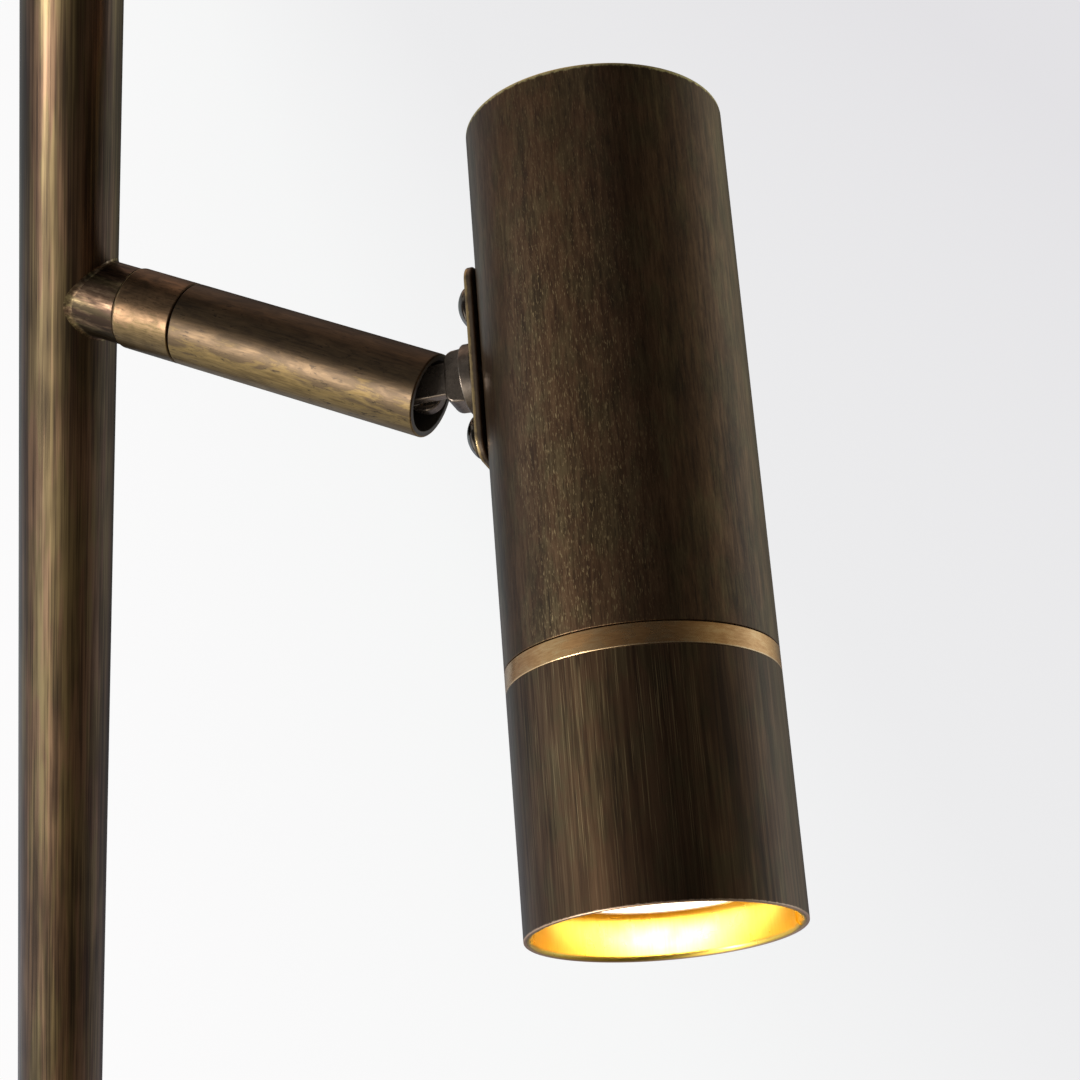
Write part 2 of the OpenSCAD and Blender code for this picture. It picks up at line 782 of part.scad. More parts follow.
// Point on the spring's wire, ring by ring
function spring_point(i, j) =
    let (around = 360 * i / spring_rings, side = 360 * j / spring_sides, wire_r = spring_wire / 2 - fit)
    spring_middle(i) + wire_r * [cos(side) * cos(around), cos(side) * sin(around), sin(side)];

// Compression spring: one unbroken tube, open at neither end
module tension_spring() {
    last = spring_curls * spring_rings;
    points = [for (i = [0 : last]) for (j = [0 : spring_sides - 1]) spring_point(i, j)];
    sides = [for (i = [0 : last - 1]) for (j = [0 : spring_sides - 1])
        let (a = i * spring_sides, b = a + spring_sides, k = (j + 1) % spring_sides)
        each [[a + j, a + k, b + k], [a + j, b + k, b + j]]];
    first_cap = [for (j = [1 : spring_sides - 2]) [0, j + 1, j]];
    base = last * spring_sides;
    last_cap = [for (j = [1 : spring_sides - 2]) [base, base + j, base + j + 1]];
    echo(spring_least_gap = min([for (i = [0 : last]) for (k = [i + spring_rings / 2 : 2 * spring_rings + i])
        if (k <= last) norm(spring_middle(i) - spring_middle(k)) - spring_wire]));
    color("#77736c") polyhedron(points = points, faces = concat(sides, first_cap, last_cap));
}

module ceiling_cup() {
    color("#6b5840") difference() {
        union() {
            translate([0, 0, cup_low]) cylinder(h = flange_h, r = flange_r);
            translate([0, 0, cup_hub_low]) cylinder(h = cup_hub_h + eps, r = cup_hub_r);
        }
        translate([0, 0, cup_hub_low - over]) cylinder(h = rod_top - cup_hub_low + over, r = rod_r + fit);
        translate([0, 0, cup_hub_low + cup_hub_h / 2]) bar_x(-cup_hub_r - over, 0, grub_d / 2 + fit);
    }
}

module cup_grub_screw() {
    color("#3a3733") translate([0, 0, cup_hub_low + cup_hub_h / 2])
        grub_x(-cup_hub_r, -rod_r - fit);
}

module ceiling_pad() {
    color("#22201f") translate([0, 0, ceiling_z]) mirror([0, 0, 1]) pad();
}

// ---- Arm ----

module arm_tube() {
    color("#7a6238") at_arm() tube_x(seam_high, arm_end, arm_r, arm_bore);
}

// Bearing bush pressed in the arm, with a groove that the stop pin runs in
module arm_bush() {
    color("#a58a55") at_arm() difference() {
        tube_x(seam_high, hub_end, arm_bore - fit, nipple_r + fit);
        translate([seam_high - eps, 0, 0]) rotate([0, 90, 0])
            rotate([0, 0, stop_half_block])
            rotate_extrude(angle = 360 - 2 * stop_half_block)
            translate([stop_ring_r - stop_groove_w / 2, 0]) square([stop_groove_w, stop_groove]);
    }
}

// Plug that holds the knuckle's stem in the arm
module arm_end_plug() {
    color("#4b3d30") at_arm() translate([pivot_x, 0, 0])
        tube_x(plug_x - plug_len, plug_x, arm_bore - fit, stem_r + fit);
}

// Tongue of the knuckle, from the middle of its round end to its block
module tongue(x_tip, x_block, y_low) {
    translate([0, y_low + tongue_t, 0]) rotate([90, 0, 0]) linear_extrude(height = tongue_t) union() {
        translate([x_tip, 0]) circle(r = tongue_r);
        translate([min(x_tip, x_block), -tongue_r]) square([abs(x_block - x_tip), tongue_h]);
    }
}

// Hinge hole through both tongues
module hinge_hole(grow) {
    rotate([90, 0, 0]) cylinder(h = 4 * tongue_out, r = hinge_r + grow, center = true);
}

// Knuckle half on the arm: hollow stem, block and the far tongue
module knuckle_arm_half() {
    color("#2c2622") at_arm() translate([pivot_x, 0, 0]) difference() {
        union() {
            tongue(tongue_past, plug_x + arm_block_len / 2, tongue_in);
            bar_x(plug_x, arm_block_x, arm_block_d / 2);
            bar_x(plug_x - plug_len, plug_x + eps, stem_r);
        }
        bar_x(plug_x - plug_len - over, arm_block_x - near, knuckle_bore / 2);
        hinge_hole(fit);
    }
}

module knuckle_screw() {
    screw_end = tongue_out + hinge_nut_t + thread_end;
    color("#57534c") at_knuckle() {
        translate([0, screw_end, 0]) rotate([90, 0, 0])
            cylinder(h = screw_end + tongue_out + 2 * fit, r = hinge_r);
        translate([0, -tongue_out - fit, 0]) rotate([90, 0, 0]) cylinder(h = hinge_head_t, d = hinge_head_d);
    }
}

module knuckle_nut() {
    color("#57534c") at_arm() translate([pivot_x, tongue_out + fit, 0]) rotate([0, 0, 90])
        nut_x(0, hinge_nut_t, hinge_head_d, hinge_r + fit);
}

module knuckle_washer() {
    color("#c9c4b8") at_arm() translate([pivot_x, tongue_in - fit, 0]) rotate([90, 0, 0]) difference() {
        cylinder(h = hinge_washer_t, r = tongue_r - near);
        translate([0, 0, -over]) cylinder(h = hinge_washer_t + 2 * over, r = hinge_r + fit);
    }
}

// ---- Head: knuckle half, mount plate and its screws ----

// Knuckle half on the head: the near tongue, a round-cornered block, a base disc and a stem
module knuckle_head_half() {
    color("#2c2622") at_knuckle() difference() {
        union() {
            tongue(0, block_out + block_r, -tongue_out);
            translate([block_out, block_w / 2, 0]) rotate([90, 0, 0]) linear_extrude(height = block_w)
                union() {
                    translate([block_r, -block_h / 2]) square([block_len + eps - block_r, block_h]);
                    translate([0, block_r - block_h / 2]) square([block_r + eps, block_h - 2 * block_r]);
                    for (side = [-1, 1]) translate([block_r, side * (block_h / 2 - block_r)])
                        circle(r = block_r);
                }
            bar_x(base_out, plate_out, base_d / 2);
            bar_x(plate_out - eps, pivot_reach - stem_end, stem_r);
        }
        bar_x(block_out, pivot_reach, knuckle_bore / 2);
        hinge_hole(fit);
    }
}

// Lock nut on the stem, inside the housing
module stem_nut() {
    color("#8d8a84") at_knuckle()
        nut_x(pivot_reach - stem_seat, pivot_reach - stem_seat + stem_nut_t, stem_nut_af, stem_r + fit);
}

// Both plate screw holes, along X, in the head's frame
module plate_screw_holes(x0, x1, r) {
    for (side = [-1, 1]) translate([0, 0, plate_mid + side * screw_pitch / 2]) bar_x(x0, x1, r);
}

// Flat plate with round corners, tangent to the housing
module mount_plate() {
    color("#3a3029") at_head() difference() {
        translate([-head_r - plate_t, 0, plate_mid]) rotate([0, 90, 0])
            linear_extrude(height = plate_t) union() {
                square([plate_len - 2 * plate_corner, plate_w], center = true);
                square([plate_len, plate_w - 2 * plate_corner], center = true);
                for (x = [-1, 1], y = [-1, 1])
                    translate([x * (plate_len / 2 - plate_corner), y * (plate_w / 2 - plate_corner)])
                        circle(r = plate_corner);
            }
        plate_screw_holes(-head_r - plate_t - over, -head_r + over, screw_r + fit);
        translate([0, 0, -stem_drop]) bar_x(-head_r - plate_t - over, -head_r + over, stem_r + fit);
    }
}

// Pan-head screws through plate and housing into the bracket, their heads domed
module plate_screws() {
    dome_r = (pow(screw_head_d / 2, 2) + pow(screw_head_t, 2)) / (2 * screw_head_t);
    color("#4a433b") at_head() for (side = [-1, 1])
        translate([-head_r - plate_t, 0, plate_mid + side * screw_pitch / 2]) {
            bar_x(0, head_r + plate_t - screw_tip, screw_r);
            intersection() {
                translate([dome_r - screw_head_t, 0, 0]) sphere(r = dome_r);
                bar_x(-screw_head_t, 0, screw_head_d / 2);
            }
        }
}

// ---- Head: shells ----

module housing_tube() {
    color("#54483a") at_head() difference() {
        tube_z(-housing_len, 0, head_r, head_bore);
        plate_screw_holes(-head_r - over, 0, screw_r + fit);
        translate([0, 0, -stem_drop]) bar_x(-head_r - over, 0, stem_r + fit);
    }
}

// Recessed cap with a ring of air slots
module top_cap() {
    color("#3d342b") at_head() difference() {
        translate([0, 0, -cap_recess - cap_skirt]) cylinder(h = cap_skirt, r = cap_r);
        translate([0, 0, -cap_recess - cap_skirt - over])
            cylinder(h = cap_skirt + over - cap_t, r = cap_r - cap_t);
        for (i = [0 : vent_count - 1]) rotate([0, 0, i * 360 / vent_count])
            translate([cap_r - vent_edge - vent_len, -vent_w / 2, -cap_recess - cap_t - over])
                cube([vent_len, vent_w, cap_t + 2 * over]);
    }
}

// Copper band, flush with the tubes, on a sleeve that joins them
module accent_ring() {
    sleeve_r = head_bore - fit;
    color("#a9764a") at_head() difference() {
        union() {
            translate([0, 0, -housing_len - band_w]) cylinder(h = band_w, r = head_r);
            translate([0, 0, -housing_len - band_w - band_grip])
                cylinder(h = band_w + 2 * band_grip, r = sleeve_r);
        }
        translate([0, 0, -rim_z]) cylinder(h = rim_z, r = sleeve_r - band_sleeve_t);
    }
}

module shade_tube() {
    color("#6d5f50") at_head() tube_z(-rim_z, -housing_len - band_w, head_r, head_bore);
}

// Rolled gold sheet inside the shade, its two ends not quite meeting
module gold_liner() {
    liner_low = -rim_z + liner_inset;
    liner_high = -housing_len - band_w - band_grip - near;
    color("#c99b3c") at_head() translate([0, 0, liner_low]) rotate([0, 0, liner_seam / 2])
        rotate_extrude(angle = 360 - liner_seam)
        translate([liner_r - liner_t, 0]) square([liner_t, liner_high - liner_low]);
}

// ---- Head: bracket, holder, wiring and lamp ----

// Curved strap behind the plate and a shelf across the housing
module holder_bracket() {
    strap_top = plate_mid + plate_len / 2;
    shelf_end = holder_r;
    color("#9a968e") at_head() difference() {
        union() {
            translate([0, 0, -holder_top]) rotate([0, 0, 180 - strap_half])
                rotate_extrude(angle = 2 * strap_half)
                translate([strap_in, 0]) square([bracket_t, strap_top + holder_top]);
            translate([-strap_in - fit, -bracket_w / 2, -holder_top])
                cube([strap_in + fit + shelf_end, bracket_w, bracket_t]);
            translate([0, 0, -holder_top]) cylinder(h = bracket_t, r = holder_r);
        }
        plate_screw_holes(-head_r, 0, screw_r + fit);
        translate([0, 0, -stem_drop]) bar_x(-head_r, 0, stem_r + fit);
        core_holes();
        for (y = [-1, 1]) translate([0, y * holder_screw_y, -holder_top - over])
            cylinder(h = bracket_t + 2 * over, r = holder_screw_r + fit);
    }
}

// Clear holes for the two cores that drop to the holder
module core_holes() {
    for (y = [-core_gap, core_gap]) translate([cores_x + 2 * core_bend, y, -holder_top - over])
        cylinder(h = bracket_t + 2 * over, r = core_r + near);
}

// Ceramic holder with two keyhole sockets for the lamp's pins
module lamp_holder() {
    color("#e6e1d6") at_head() difference() {
        translate([0, 0, -lamp_top]) cylinder(h = holder_h, r = holder_r);
        for (x = [-1, 1]) translate([x * pin_pitch / 2, 0, -lamp_top - over])
            cylinder(h = pin_len + 2 * over, r = pin_r + near);
        for (y = [-1, 1]) translate([0, y * holder_screw_y, -holder_top - holder_screw_len - near])
            cylinder(h = holder_screw_len + near + over, r = holder_screw_r + fit);
    }
}

module holder_screws() {
    color("#a8a49b") at_head() for (y = [-1, 1]) translate([0, y * holder_screw_y, 0]) {
        translate([0, 0, block_floor]) cylinder(h = holder_screw_head_t, r = holder_screw_head_r);
        translate([0, 0, -holder_top - holder_screw_len])
            cylinder(h = holder_screw_len + bracket_t + holder_screw_head_t / 2, r = holder_screw_r);
    }
}

module terminal_block() {
    color("#efeadf") at_head() difference() {
        translate([terminal_x - block_side / 2, -block_side / 2, block_floor])
            cube([block_side, block_side, block_rise]);
        for (x = [-1, 1], y = [-1, 1])
            translate([terminal_x + x * core_gap, y * core_gap, block_top - terminal_depth])
                cylinder(h = terminal_depth + over, r = terminal_screw_r + fit);
    }
}

module terminal_screws() {
    color("#a58a55") at_head() for (x = [-1, 1], y = [-1, 1])
        translate([terminal_x + x * core_gap, y * core_gap, block_top - terminal_depth])
            cylinder(h = terminal_screw_t, r = terminal_screw_r);
}

// Lead from the knuckle into the housing and down to the terminal block
module head_lead() {
    turn_x = terminal_x - lead_drop_bend;
    color("#26231f") at_head() union() {
        translate([0, 0, -stem_drop]) bar_x(block_out + near - pivot_reach, turn_x + eps, lead_r);
        translate([turn_x, 0, -stem_drop - lead_drop_bend]) rotate([90, 0, 0])
            rotate_extrude(angle = 90) translate([lead_drop_bend, 0]) circle(r = lead_r);
        translate([terminal_x, 0, block_top])
            cylinder(h = -stem_drop - lead_drop_bend - block_top + eps, r = lead_r);
    }
}

// Two cores from the terminal block down to the holder
module holder_cores() {
    core_z = block_floor + block_rise / 2;
    bend_x = cores_x + core_bend;
    color("#c9a24a") at_head() for (y = [-core_gap, core_gap]) translate([0, y, 0]) union() {
        translate([0, 0, core_z]) bar_x(cores_x, bend_x + eps, core_r);
        translate([bend_x, 0, core_z - core_bend]) rotate([90, 0, 0])
            rotate_extrude(angle = 90) translate([core_bend, 0]) circle(r = core_r);
        translate([bend_x + core_bend, 0, -holder_top])
            cylinder(h = core_z - core_bend + holder_top + eps, r = core_r);
    }
}

// Reflector lamp: ceramic base and a bowl that opens to the front glass
module lamp_reflector() {
    bowl_z = -lamp_top - lamp_base_len;
    rim_top = -lens_z + lamp_rim_len;
    glass_r = lamp_r - lens_rim;
    waist = [lamp_r * 0.78, bowl_z + (rim_top - bowl_z) * 0.45];
    color("#d8cfc0") at_head() difference() {
        rotate_extrude() polygon([
            [0, -lamp_top], [lamp_base_r - over, -lamp_top], [lamp_base_r, -lamp_top - over],
            [lamp_base_r, bowl_z], waist, [lamp_r - over, rim_top + 2 * over], [lamp_r, rim_top],
            [lamp_r, -lens_z], [0, -lens_z]]);
        translate([0, 0, -lens_z - over]) cylinder(h = lens_t + over + fit, r = glass_r);
        translate([0, 0, -lens_z + lens_t])
            cylinder(h = lamp_rim_len, r1 = glass_r - lens_rim, r2 = glass_r - lens_rim - lamp_rim_len);
        for (x = [-1, 1]) translate([x * pin_pitch / 2, 0, -lamp_top - pin_root])
            cylinder(h = pin_root + over, r = pin_r + fit);
    }
}

module lamp_glass() {
    color("#fff3dc") at_head() translate([0, 0, -lens_z]) cylinder(h = lens_t, r = lamp_r - lens_rim - fit);
}

module lamp_pins() {
    color("#b9b6af") at_head() for (x = [-1, 1]) translate([x * pin_pitch / 2, 0, -lamp_top - pin_root])
        cylinder(h = pin_len + pin_root, r = pin_r);
}

floor_pad();
floor_foot();
foot_grub_screw();
lower_pole();
pole_joiner();
joiner_screws();
upper_pole();
cord_grommet();
inlet_terminal();
pole_lead();
arm_stub();
braze_bead();
swivel_sleeve();
swivel_nipple();
stop_pin();
swivel_washer();
swivel_nut();
clamp_collar();
guide_bush();
clamp_screw();
telescope_tube();
glide_ring();
spring_seat();
spring_seat_pin();
plunger_guide();
plunger_rod();
plunger_piston();
tension_spring();
ceiling_cup();
cup_grub_screw();
ceiling_pad();
arm_tube();
arm_bush();
arm_end_plug();
knuckle_arm_half();
knuckle_screw();
knuckle_nut();
knuckle_washer();
knuckle_head_half();
stem_nut();
mount_plate();
plate_screws();
housing_tube();
top_cap();
accent_ring();
shade_tube();
gold_liner();
holder_bracket();
lamp_holder();
holder_screws();
terminal_block();
terminal_screws();
head_lead();
holder_cores();
lamp_reflector();
lamp_glass();
lamp_pins();
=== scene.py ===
"""Tension pole lamp: a floor-to-ceiling bronze pole, a short swivelling arm and one tilting spot head."""
import math

import bmesh
import bpy
import numpy as np
from mathutils import Matrix, Vector


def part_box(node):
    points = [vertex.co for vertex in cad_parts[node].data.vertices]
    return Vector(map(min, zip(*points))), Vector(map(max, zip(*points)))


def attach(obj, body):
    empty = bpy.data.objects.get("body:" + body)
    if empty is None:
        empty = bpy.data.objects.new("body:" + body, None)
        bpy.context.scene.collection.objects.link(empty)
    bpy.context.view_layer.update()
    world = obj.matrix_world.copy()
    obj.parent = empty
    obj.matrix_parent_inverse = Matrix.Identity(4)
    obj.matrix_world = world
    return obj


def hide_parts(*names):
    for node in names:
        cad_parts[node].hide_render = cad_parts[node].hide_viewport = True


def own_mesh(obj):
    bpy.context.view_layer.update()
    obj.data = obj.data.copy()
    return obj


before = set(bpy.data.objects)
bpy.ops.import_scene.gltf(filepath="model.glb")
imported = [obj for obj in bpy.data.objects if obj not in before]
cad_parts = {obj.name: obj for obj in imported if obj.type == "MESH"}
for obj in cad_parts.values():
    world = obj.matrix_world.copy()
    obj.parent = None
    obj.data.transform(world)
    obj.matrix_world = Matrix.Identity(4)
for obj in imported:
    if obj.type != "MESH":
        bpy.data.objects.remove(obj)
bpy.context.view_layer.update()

# ---- Camera --------------------------------------------------------------------------------
# The photograph's viewpoint: a short telephoto a little above the arm, looking down at the
# head, with a slight roll. Only a hand's width of the pole is in view.
camera_data = bpy.data.cameras.new("camera")
camera_data.sensor_width = 36
camera_data.lens = 84.857
camera_data.clip_start = 0.02
camera_data.clip_end = 200
camera = bpy.data.objects.new("camera", camera_data)
camera.location = (0.35638, -0.47862, 1.68324)
camera.rotation_euler = (1.109567, -0.092309, 0.480196)
bpy.context.scene.collection.objects.link(camera)
bpy.context.scene.camera = camera

# ---- Floor, backdrop and light -------------------------------------------------------------
# A pale studio: a white floor that greys to the right, a white wall of light behind the lamp,
# soft boxes to the left and overhead, and a dim room in front, which the bronze mirrors as dark.
mm = 0.001  # the lamp's sizes, grains and depths are in millimetres, and what takes them makes metres of them


class Wire:
    """One shader socket; + - * / and their reflected forms add Math nodes to its paint."""

    def __init__(self, paint, socket):
        self.paint, self.socket = paint, socket

    def math(self, operation, first, second, clamp=False):
        return self.paint.node("Math", {"operation": operation, "use_clamp": clamp}, {0: first, 1: second})["Value"]

    def __add__(self, other):
        return self.math("ADD", self, other)

    def __sub__(self, other):
        return self.math("SUBTRACT", self, other)

    def __mul__(self, other):
        return self.math("MULTIPLY", self, other)

    def __truediv__(self, other):
        return self.math("DIVIDE", self, other)

    def __rsub__(self, other):
        return self.math("SUBTRACT", other, self)

    def __rtruediv__(self, other):
        return self.math("DIVIDE", other, self)

    __radd__ = __add__
    __rmul__ = __mul__

    def power(self, exponent):
        return self.math("POWER", self, exponent)

    def clamped(self):
        return self.math("ADD", self, 0.0, clamp=True)

    def size(self):
        return self.math("ABSOLUTE", self, 0.0)


class Outputs:
    """A node's outputs, by name or number, as wires."""

    def __init__(self, paint, node):
        self.paint, self.made = paint, node

    def __getitem__(self, key):
        return Wire(self.paint, self.made.outputs[key])


class Paint:
    """A node tree in the making: a new material's, for a name, or the world's."""

    def __init__(self, owner):
        self.owner = bpy.data.materials.new(owner) if isinstance(owner, str) else owner
        self.owner.use_nodes = True
        self.tree = self.owner.node_tree
        self.tree.nodes.clear()

    def node(self, kind, settings=None, sockets=None):
        """Adds one node: its settings first (a ramp's stops among them), then its sockets' values or links."""
        made = self.tree.nodes.new("ShaderNode" + kind)
        for key, value in (settings or {}).items():
            if key == "stops":
                ramp = made.color_ramp
                while len(ramp.elements) < len(value):
                    ramp.elements.new(0.5)
                for element, (place, colour) in zip(ramp.elements, value):
                    element.position = place
                    element.color = (*colour, 1)
            else:
                setattr(made, key, value)
        for key, value in (sockets or {}).items():
            socket = made.inputs[key]
            if isinstance(value, Wire):
                self.tree.links.new(value.socket, socket)
            else:
                socket.default_value = (*value, 1) if socket.type == "RGBA" else value
        return Outputs(self, made)

    def vector(self, operation, first, second=(0, 0, 0)):
        """Vector Math: a dot product's number, or the vector that any other operation gives."""
        made = self.node("VectorMath", {"operation": operation}, {0: first, 1: second})
        return made["Value" if operation == "DOT_PRODUCT" else "Vector"]

    def shader(self, kind, sockets):
        """A shader node's one output."""
        return self.node(kind, None, sockets)[0]

    def mix(self, factor, first, second):
        """Colour between first and second."""
        return self.node("Mix", {"data_type": "RGBA", "clamp_factor": True}, {0: factor, 6: first, 7: second})[2]

    def ramp(self, factor, *stops):
        return self.node("ValToRGB", {"stops": stops}, {"Fac": factor})["Color"]

    def smooth(self, value, low, high, bottom=0.0, top=1.0):
        """Smooth step: bottom where value is under low, top where it is over high."""
        return self.node("MapRange", {"interpolation_type": "SMOOTHSTEP"},
                         {"Value": value, "From Min": low, "From Max": high, "To Min": bottom, "To Max": top})["Result"]

    def local(self, place, along=1.0, shift=(0, 0, 0)):
        """Object coordinates in a piece's own frame, in millimetres from shift, with z divided by along."""
        return self.node("Mapping", {"vector_type": "TEXTURE"},
                         {"Vector": self.node("TexCoord")["Object"], "Location": tuple(place @ (Vector(shift) * mm)),
                          "Rotation": tuple(place.to_euler()), "Scale": (mm, mm, along * mm)})["Vector"]

    def axes(self, place):
        """The piece's own x, y and z, in millimetres."""
        parts = self.node("SeparateXYZ", None, {"Vector": self.local(place)})
        return parts["X"], parts["Y"], parts["Z"]

    def off_axis(self, place):
        """Distance from the z axis of a piece's own frame."""
        x, y, z = self.axes(place)
        return (x * x + y * y).power(0.5)

    def noise(self, place, grain, along=1.0, shift=(0, 0, 0), detail=3.0, roughness=0.6, distortion=0.0):
        """Noise in a piece's own frame: its grain is so many millimetres across, and along times that in z."""
        return self.node("TexNoise", None,
                         {"Vector": self.local(place, along, shift), "Scale": 1 / grain, "Detail": detail,
                          "Roughness": roughness, "Distortion": distortion})["Fac"]

    def bump(self, height, depth, strength):
        """Normal of a surface that height raises by up to depth."""
        return self.node("Bump", None, {"Height": height, "Distance": depth * mm, "Strength": strength})["Normal"]

    def surface(self, colour, rough, normal, metallic=1.0, more=None):
        """The finished material; more gives further sockets of its shader."""
        sockets = {"Base Color": colour, "Roughness": rough, "Metallic": metallic, "Normal": normal, **(more or {})}
        self.node("OutputMaterial", None, {"Surface": self.shader("BsdfPrincipled", sockets)})
        return self.owner


studio = (  # azimuth and elevation in degrees, spread n, colour k
    (-96, -25, 14, (1.41, 1.33, 1.25)), (-120, -25, 14, (0.44, 0.60, 0.69)), (-72, -25, 14, (0.18, 0.18, 0.15)),
    (-145, -25, 14, (0.28, 0.14, 0.10)), (-145, 0, 14, (0.20, 0.29, 0.32)), (-170, 0, 14, (0.25, 0.30, 0.36)),
    (150, -25, 14, (0.19, 0.24, 0.23)), (-150, 30, 8, (0.21, 0.21, 0.21)), (150, 30, 8, (0.73, 0.53, 0.42)),
    (30, 30, 8, (0.23, 0.22, 0.17)), (40, 0, 14, (0.80, 0.94, 1.12)), (72, 0, 14, (0.42, 0.39, 0.25)),
    (0, -25, 14, (0.12, 0.09, 0.06)), (50, -50, 8, (0.37, 0.35, 0.38)), (170, -50, 8, (0.35, 0.36, 0.46)),
    (-150, -50, 8, (0.41, 0.43, 0.37)), (-60, -50, 8, (0.28, 0.22, 0.14)), (-98, -8, 30, (1.8, 1.7, 1.6)))


def studio_glow(paint, way):
    """Light of the studio along way, as metal sees it: a dim room and a sum of soft lobes of colour
    k * max(way . d, 0) ** n, for the window of light and its surround, and the walls behind the lamp."""
    total = (0.025, 0.025, 0.028)
    for azimuth, height, spread, colour in studio:
        turn, rise = math.radians(azimuth), math.radians(height)
        direction = (math.cos(rise) * math.cos(turn), math.cos(rise) * math.sin(turn), math.sin(rise))
        along = paint.vector("DOT_PRODUCT", way, direction).clamped()
        total = paint.vector("ADD", paint.vector("MULTIPLY", colour, along.power(spread)), total)
    return {"Strength": 1.0, "Color": total}


def metal_rays(rays):
    """1 on rays that metal mirrors or glass lets through."""
    return (rays["Is Glossy Ray"] + rays["Is Transmission Ray"]).clamped()


floor_mesh = bpy.data.meshes.new("studio_floor")
floor_mesh.from_pydata([(-40, -40, 0), (40, -40, 0), (40, 40, 0), (-40, 40, 0)], [], [(0, 1, 2, 3)])
floor = bpy.data.objects.new("studio_floor", floor_mesh)
bpy.context.scene.collection.objects.link(floor)
# The tone that the camera sees, a painted fall-off of light from white to grey, falls along
# fall_way from fall_start, over fall_length metres.
fall_way, fall_start, fall_length = (0.755431, 0.654913, 0), 0.1, 2.9
paint = Paint("studio_floor")
spot = paint.node("TexCoord")["Object"]
fade = (paint.vector("DOT_PRODUCT", spot, fall_way) - fall_start) / fall_length
tone = paint.ramp(fade, (0.0, (0.925, 0.920, 0.923)), (0.22, (0.875, 0.880, 0.880)), (0.40, (0.795, 0.795, 0.805)),
                  (0.9, (0.725, 0.718, 0.740)))
glow = paint.shader("Emission", {"Color": tone, "Strength": 1.0})
faint = paint.shader("BsdfDiffuse", {"Color": (0.1, 0.1, 0.1)})
shown = paint.shader("AddShader", {0: glow, 1: faint})
matt = paint.shader("BsdfDiffuse", {"Color": (0.82, 0.82, 0.82)})
rays = paint.node("LightPath")
direct = paint.shader("MixShader", {0: rays["Is Camera Ray"], 1: matt, 2: shown})
head_middle = (0.1, 0.0, 1.45)
way = paint.vector("NORMALIZE", paint.vector("SUBTRACT", spot, head_middle))
mirrored = paint.shader("Emission", studio_glow(paint, way))
whole = paint.shader("MixShader", {0: metal_rays(rays), 1: direct, 2: mirrored})
paint.node("OutputMaterial", None, {"Surface": whole})
floor_mesh.materials.append(paint.owner)

world = bpy.data.worlds.new("studio")
bpy.context.scene.world = world
bpy.context.scene.view_settings.view_transform = "Standard"
paint = Paint(world)
rays = paint.node("LightPath")
room = paint.shader("Background", {"Color": (1.0, 0.985, 0.97), "Strength": 0.42})
mirrored = paint.shader("Background", studio_glow(paint, paint.node("TexCoord")["Generated"]))
pale = paint.shader("Background", {"Color": (0.90, 0.90, 0.905), "Strength": 1.0})
lit = paint.shader("MixShader", {0: metal_rays(rays), 1: room, 2: mirrored})
seen = paint.shader("MixShader", {0: rays["Is Camera Ray"], 1: lit, 2: pale})
paint.node("OutputWorld", None, {"Surface": seen})


def soft_box(name, place, aim, size, watts, colour):
    """A rectangular lamp at place, facing aim, in metres."""
    data = bpy.data.lights.new(name, "AREA")
    data.shape, data.size, data.size_y = "RECTANGLE", size[0], size[1]
    data.energy, data.color = watts, colour
    lamp = bpy.data.objects.new(name, data)
    lamp.location = place
    lamp.rotation_euler = (Vector(aim) - Vector(place)).to_track_quat("-Z", "Y").to_euler()
    bpy.context.scene.collection.objects.link(lamp)


soft_box("key_box", (-0.95, -2.1, 1.45), head_middle, (0.55, 1.1), 32, (1.0, 0.96, 0.95))
soft_box("top_box", (-0.6, -0.4, 4.2), (0.1, 0, 1.3), (1.6, 1.6), 2, (1.0, 0.98, 0.96))

# ---- Pole ----------------------------------------------------------------------------------
# Two lengths of drawn steel tube, sleeved together at the middle and given a brushed antique
# bronze finish: brown patina wiped back along the tube so that gold shows in streaks.
crisp_angle = math.radians(42)


def skin(name, points, round_u=False, round_v=False):
    """Mesh over a grid points[u, v]: each point joins the next along u and v, a round direction joins its
    last to its first, and points that coincide, as at a pole, become one."""
    nu, nv = points.shape[:2]
    u = np.arange(nu if round_u else nu - 1)[:, None]
    v = np.arange(nv if round_v else nv - 1)[None, :]
    u2, v2 = (u + 1) % nu, (v + 1) % nv
    quads = np.stack([u * nv + v, u2 * nv + v, u2 * nv + v2, u * nv + v2], -1).reshape(-1, 4)
    return finished(name, points.reshape(-1, 3), quads.tolist())


def finished(name, points, faces):
    """Object at the origin from points and faces, doubles merged, normals outwards, sharp edges left crisp."""
    mesh = bpy.data.meshes.new(name)
    mesh.from_pydata(points.tolist(), [], faces)
    work = bmesh.new()
    work.from_mesh(mesh)
    bmesh.ops.remove_doubles(work, verts=work.verts, dist=1e-7)
    bmesh.ops.dissolve_degenerate(work, edges=work.edges, dist=1e-8)
    bmesh.ops.recalc_face_normals(work, faces=work.faces)
    work.to_mesh(mesh)
    work.free()
    mesh.shade_smooth()
    mesh.set_sharp_from_angle(angle=crisp_angle)
    piece = bpy.data.objects.new(name, mesh)
    bpy.context.scene.collection.objects.link(piece)
    level = piece.modifiers.new("even_normals", "WEIGHTED_NORMAL")
    level.keep_sharp = True
    return piece


def moved(points, place):
    """Points given in millimetres in a piece's own frame, in metres in the lamp's."""
    turn = np.array(place)
    return points * mm @ turn[:3, :3].T + turn[:3, 3]


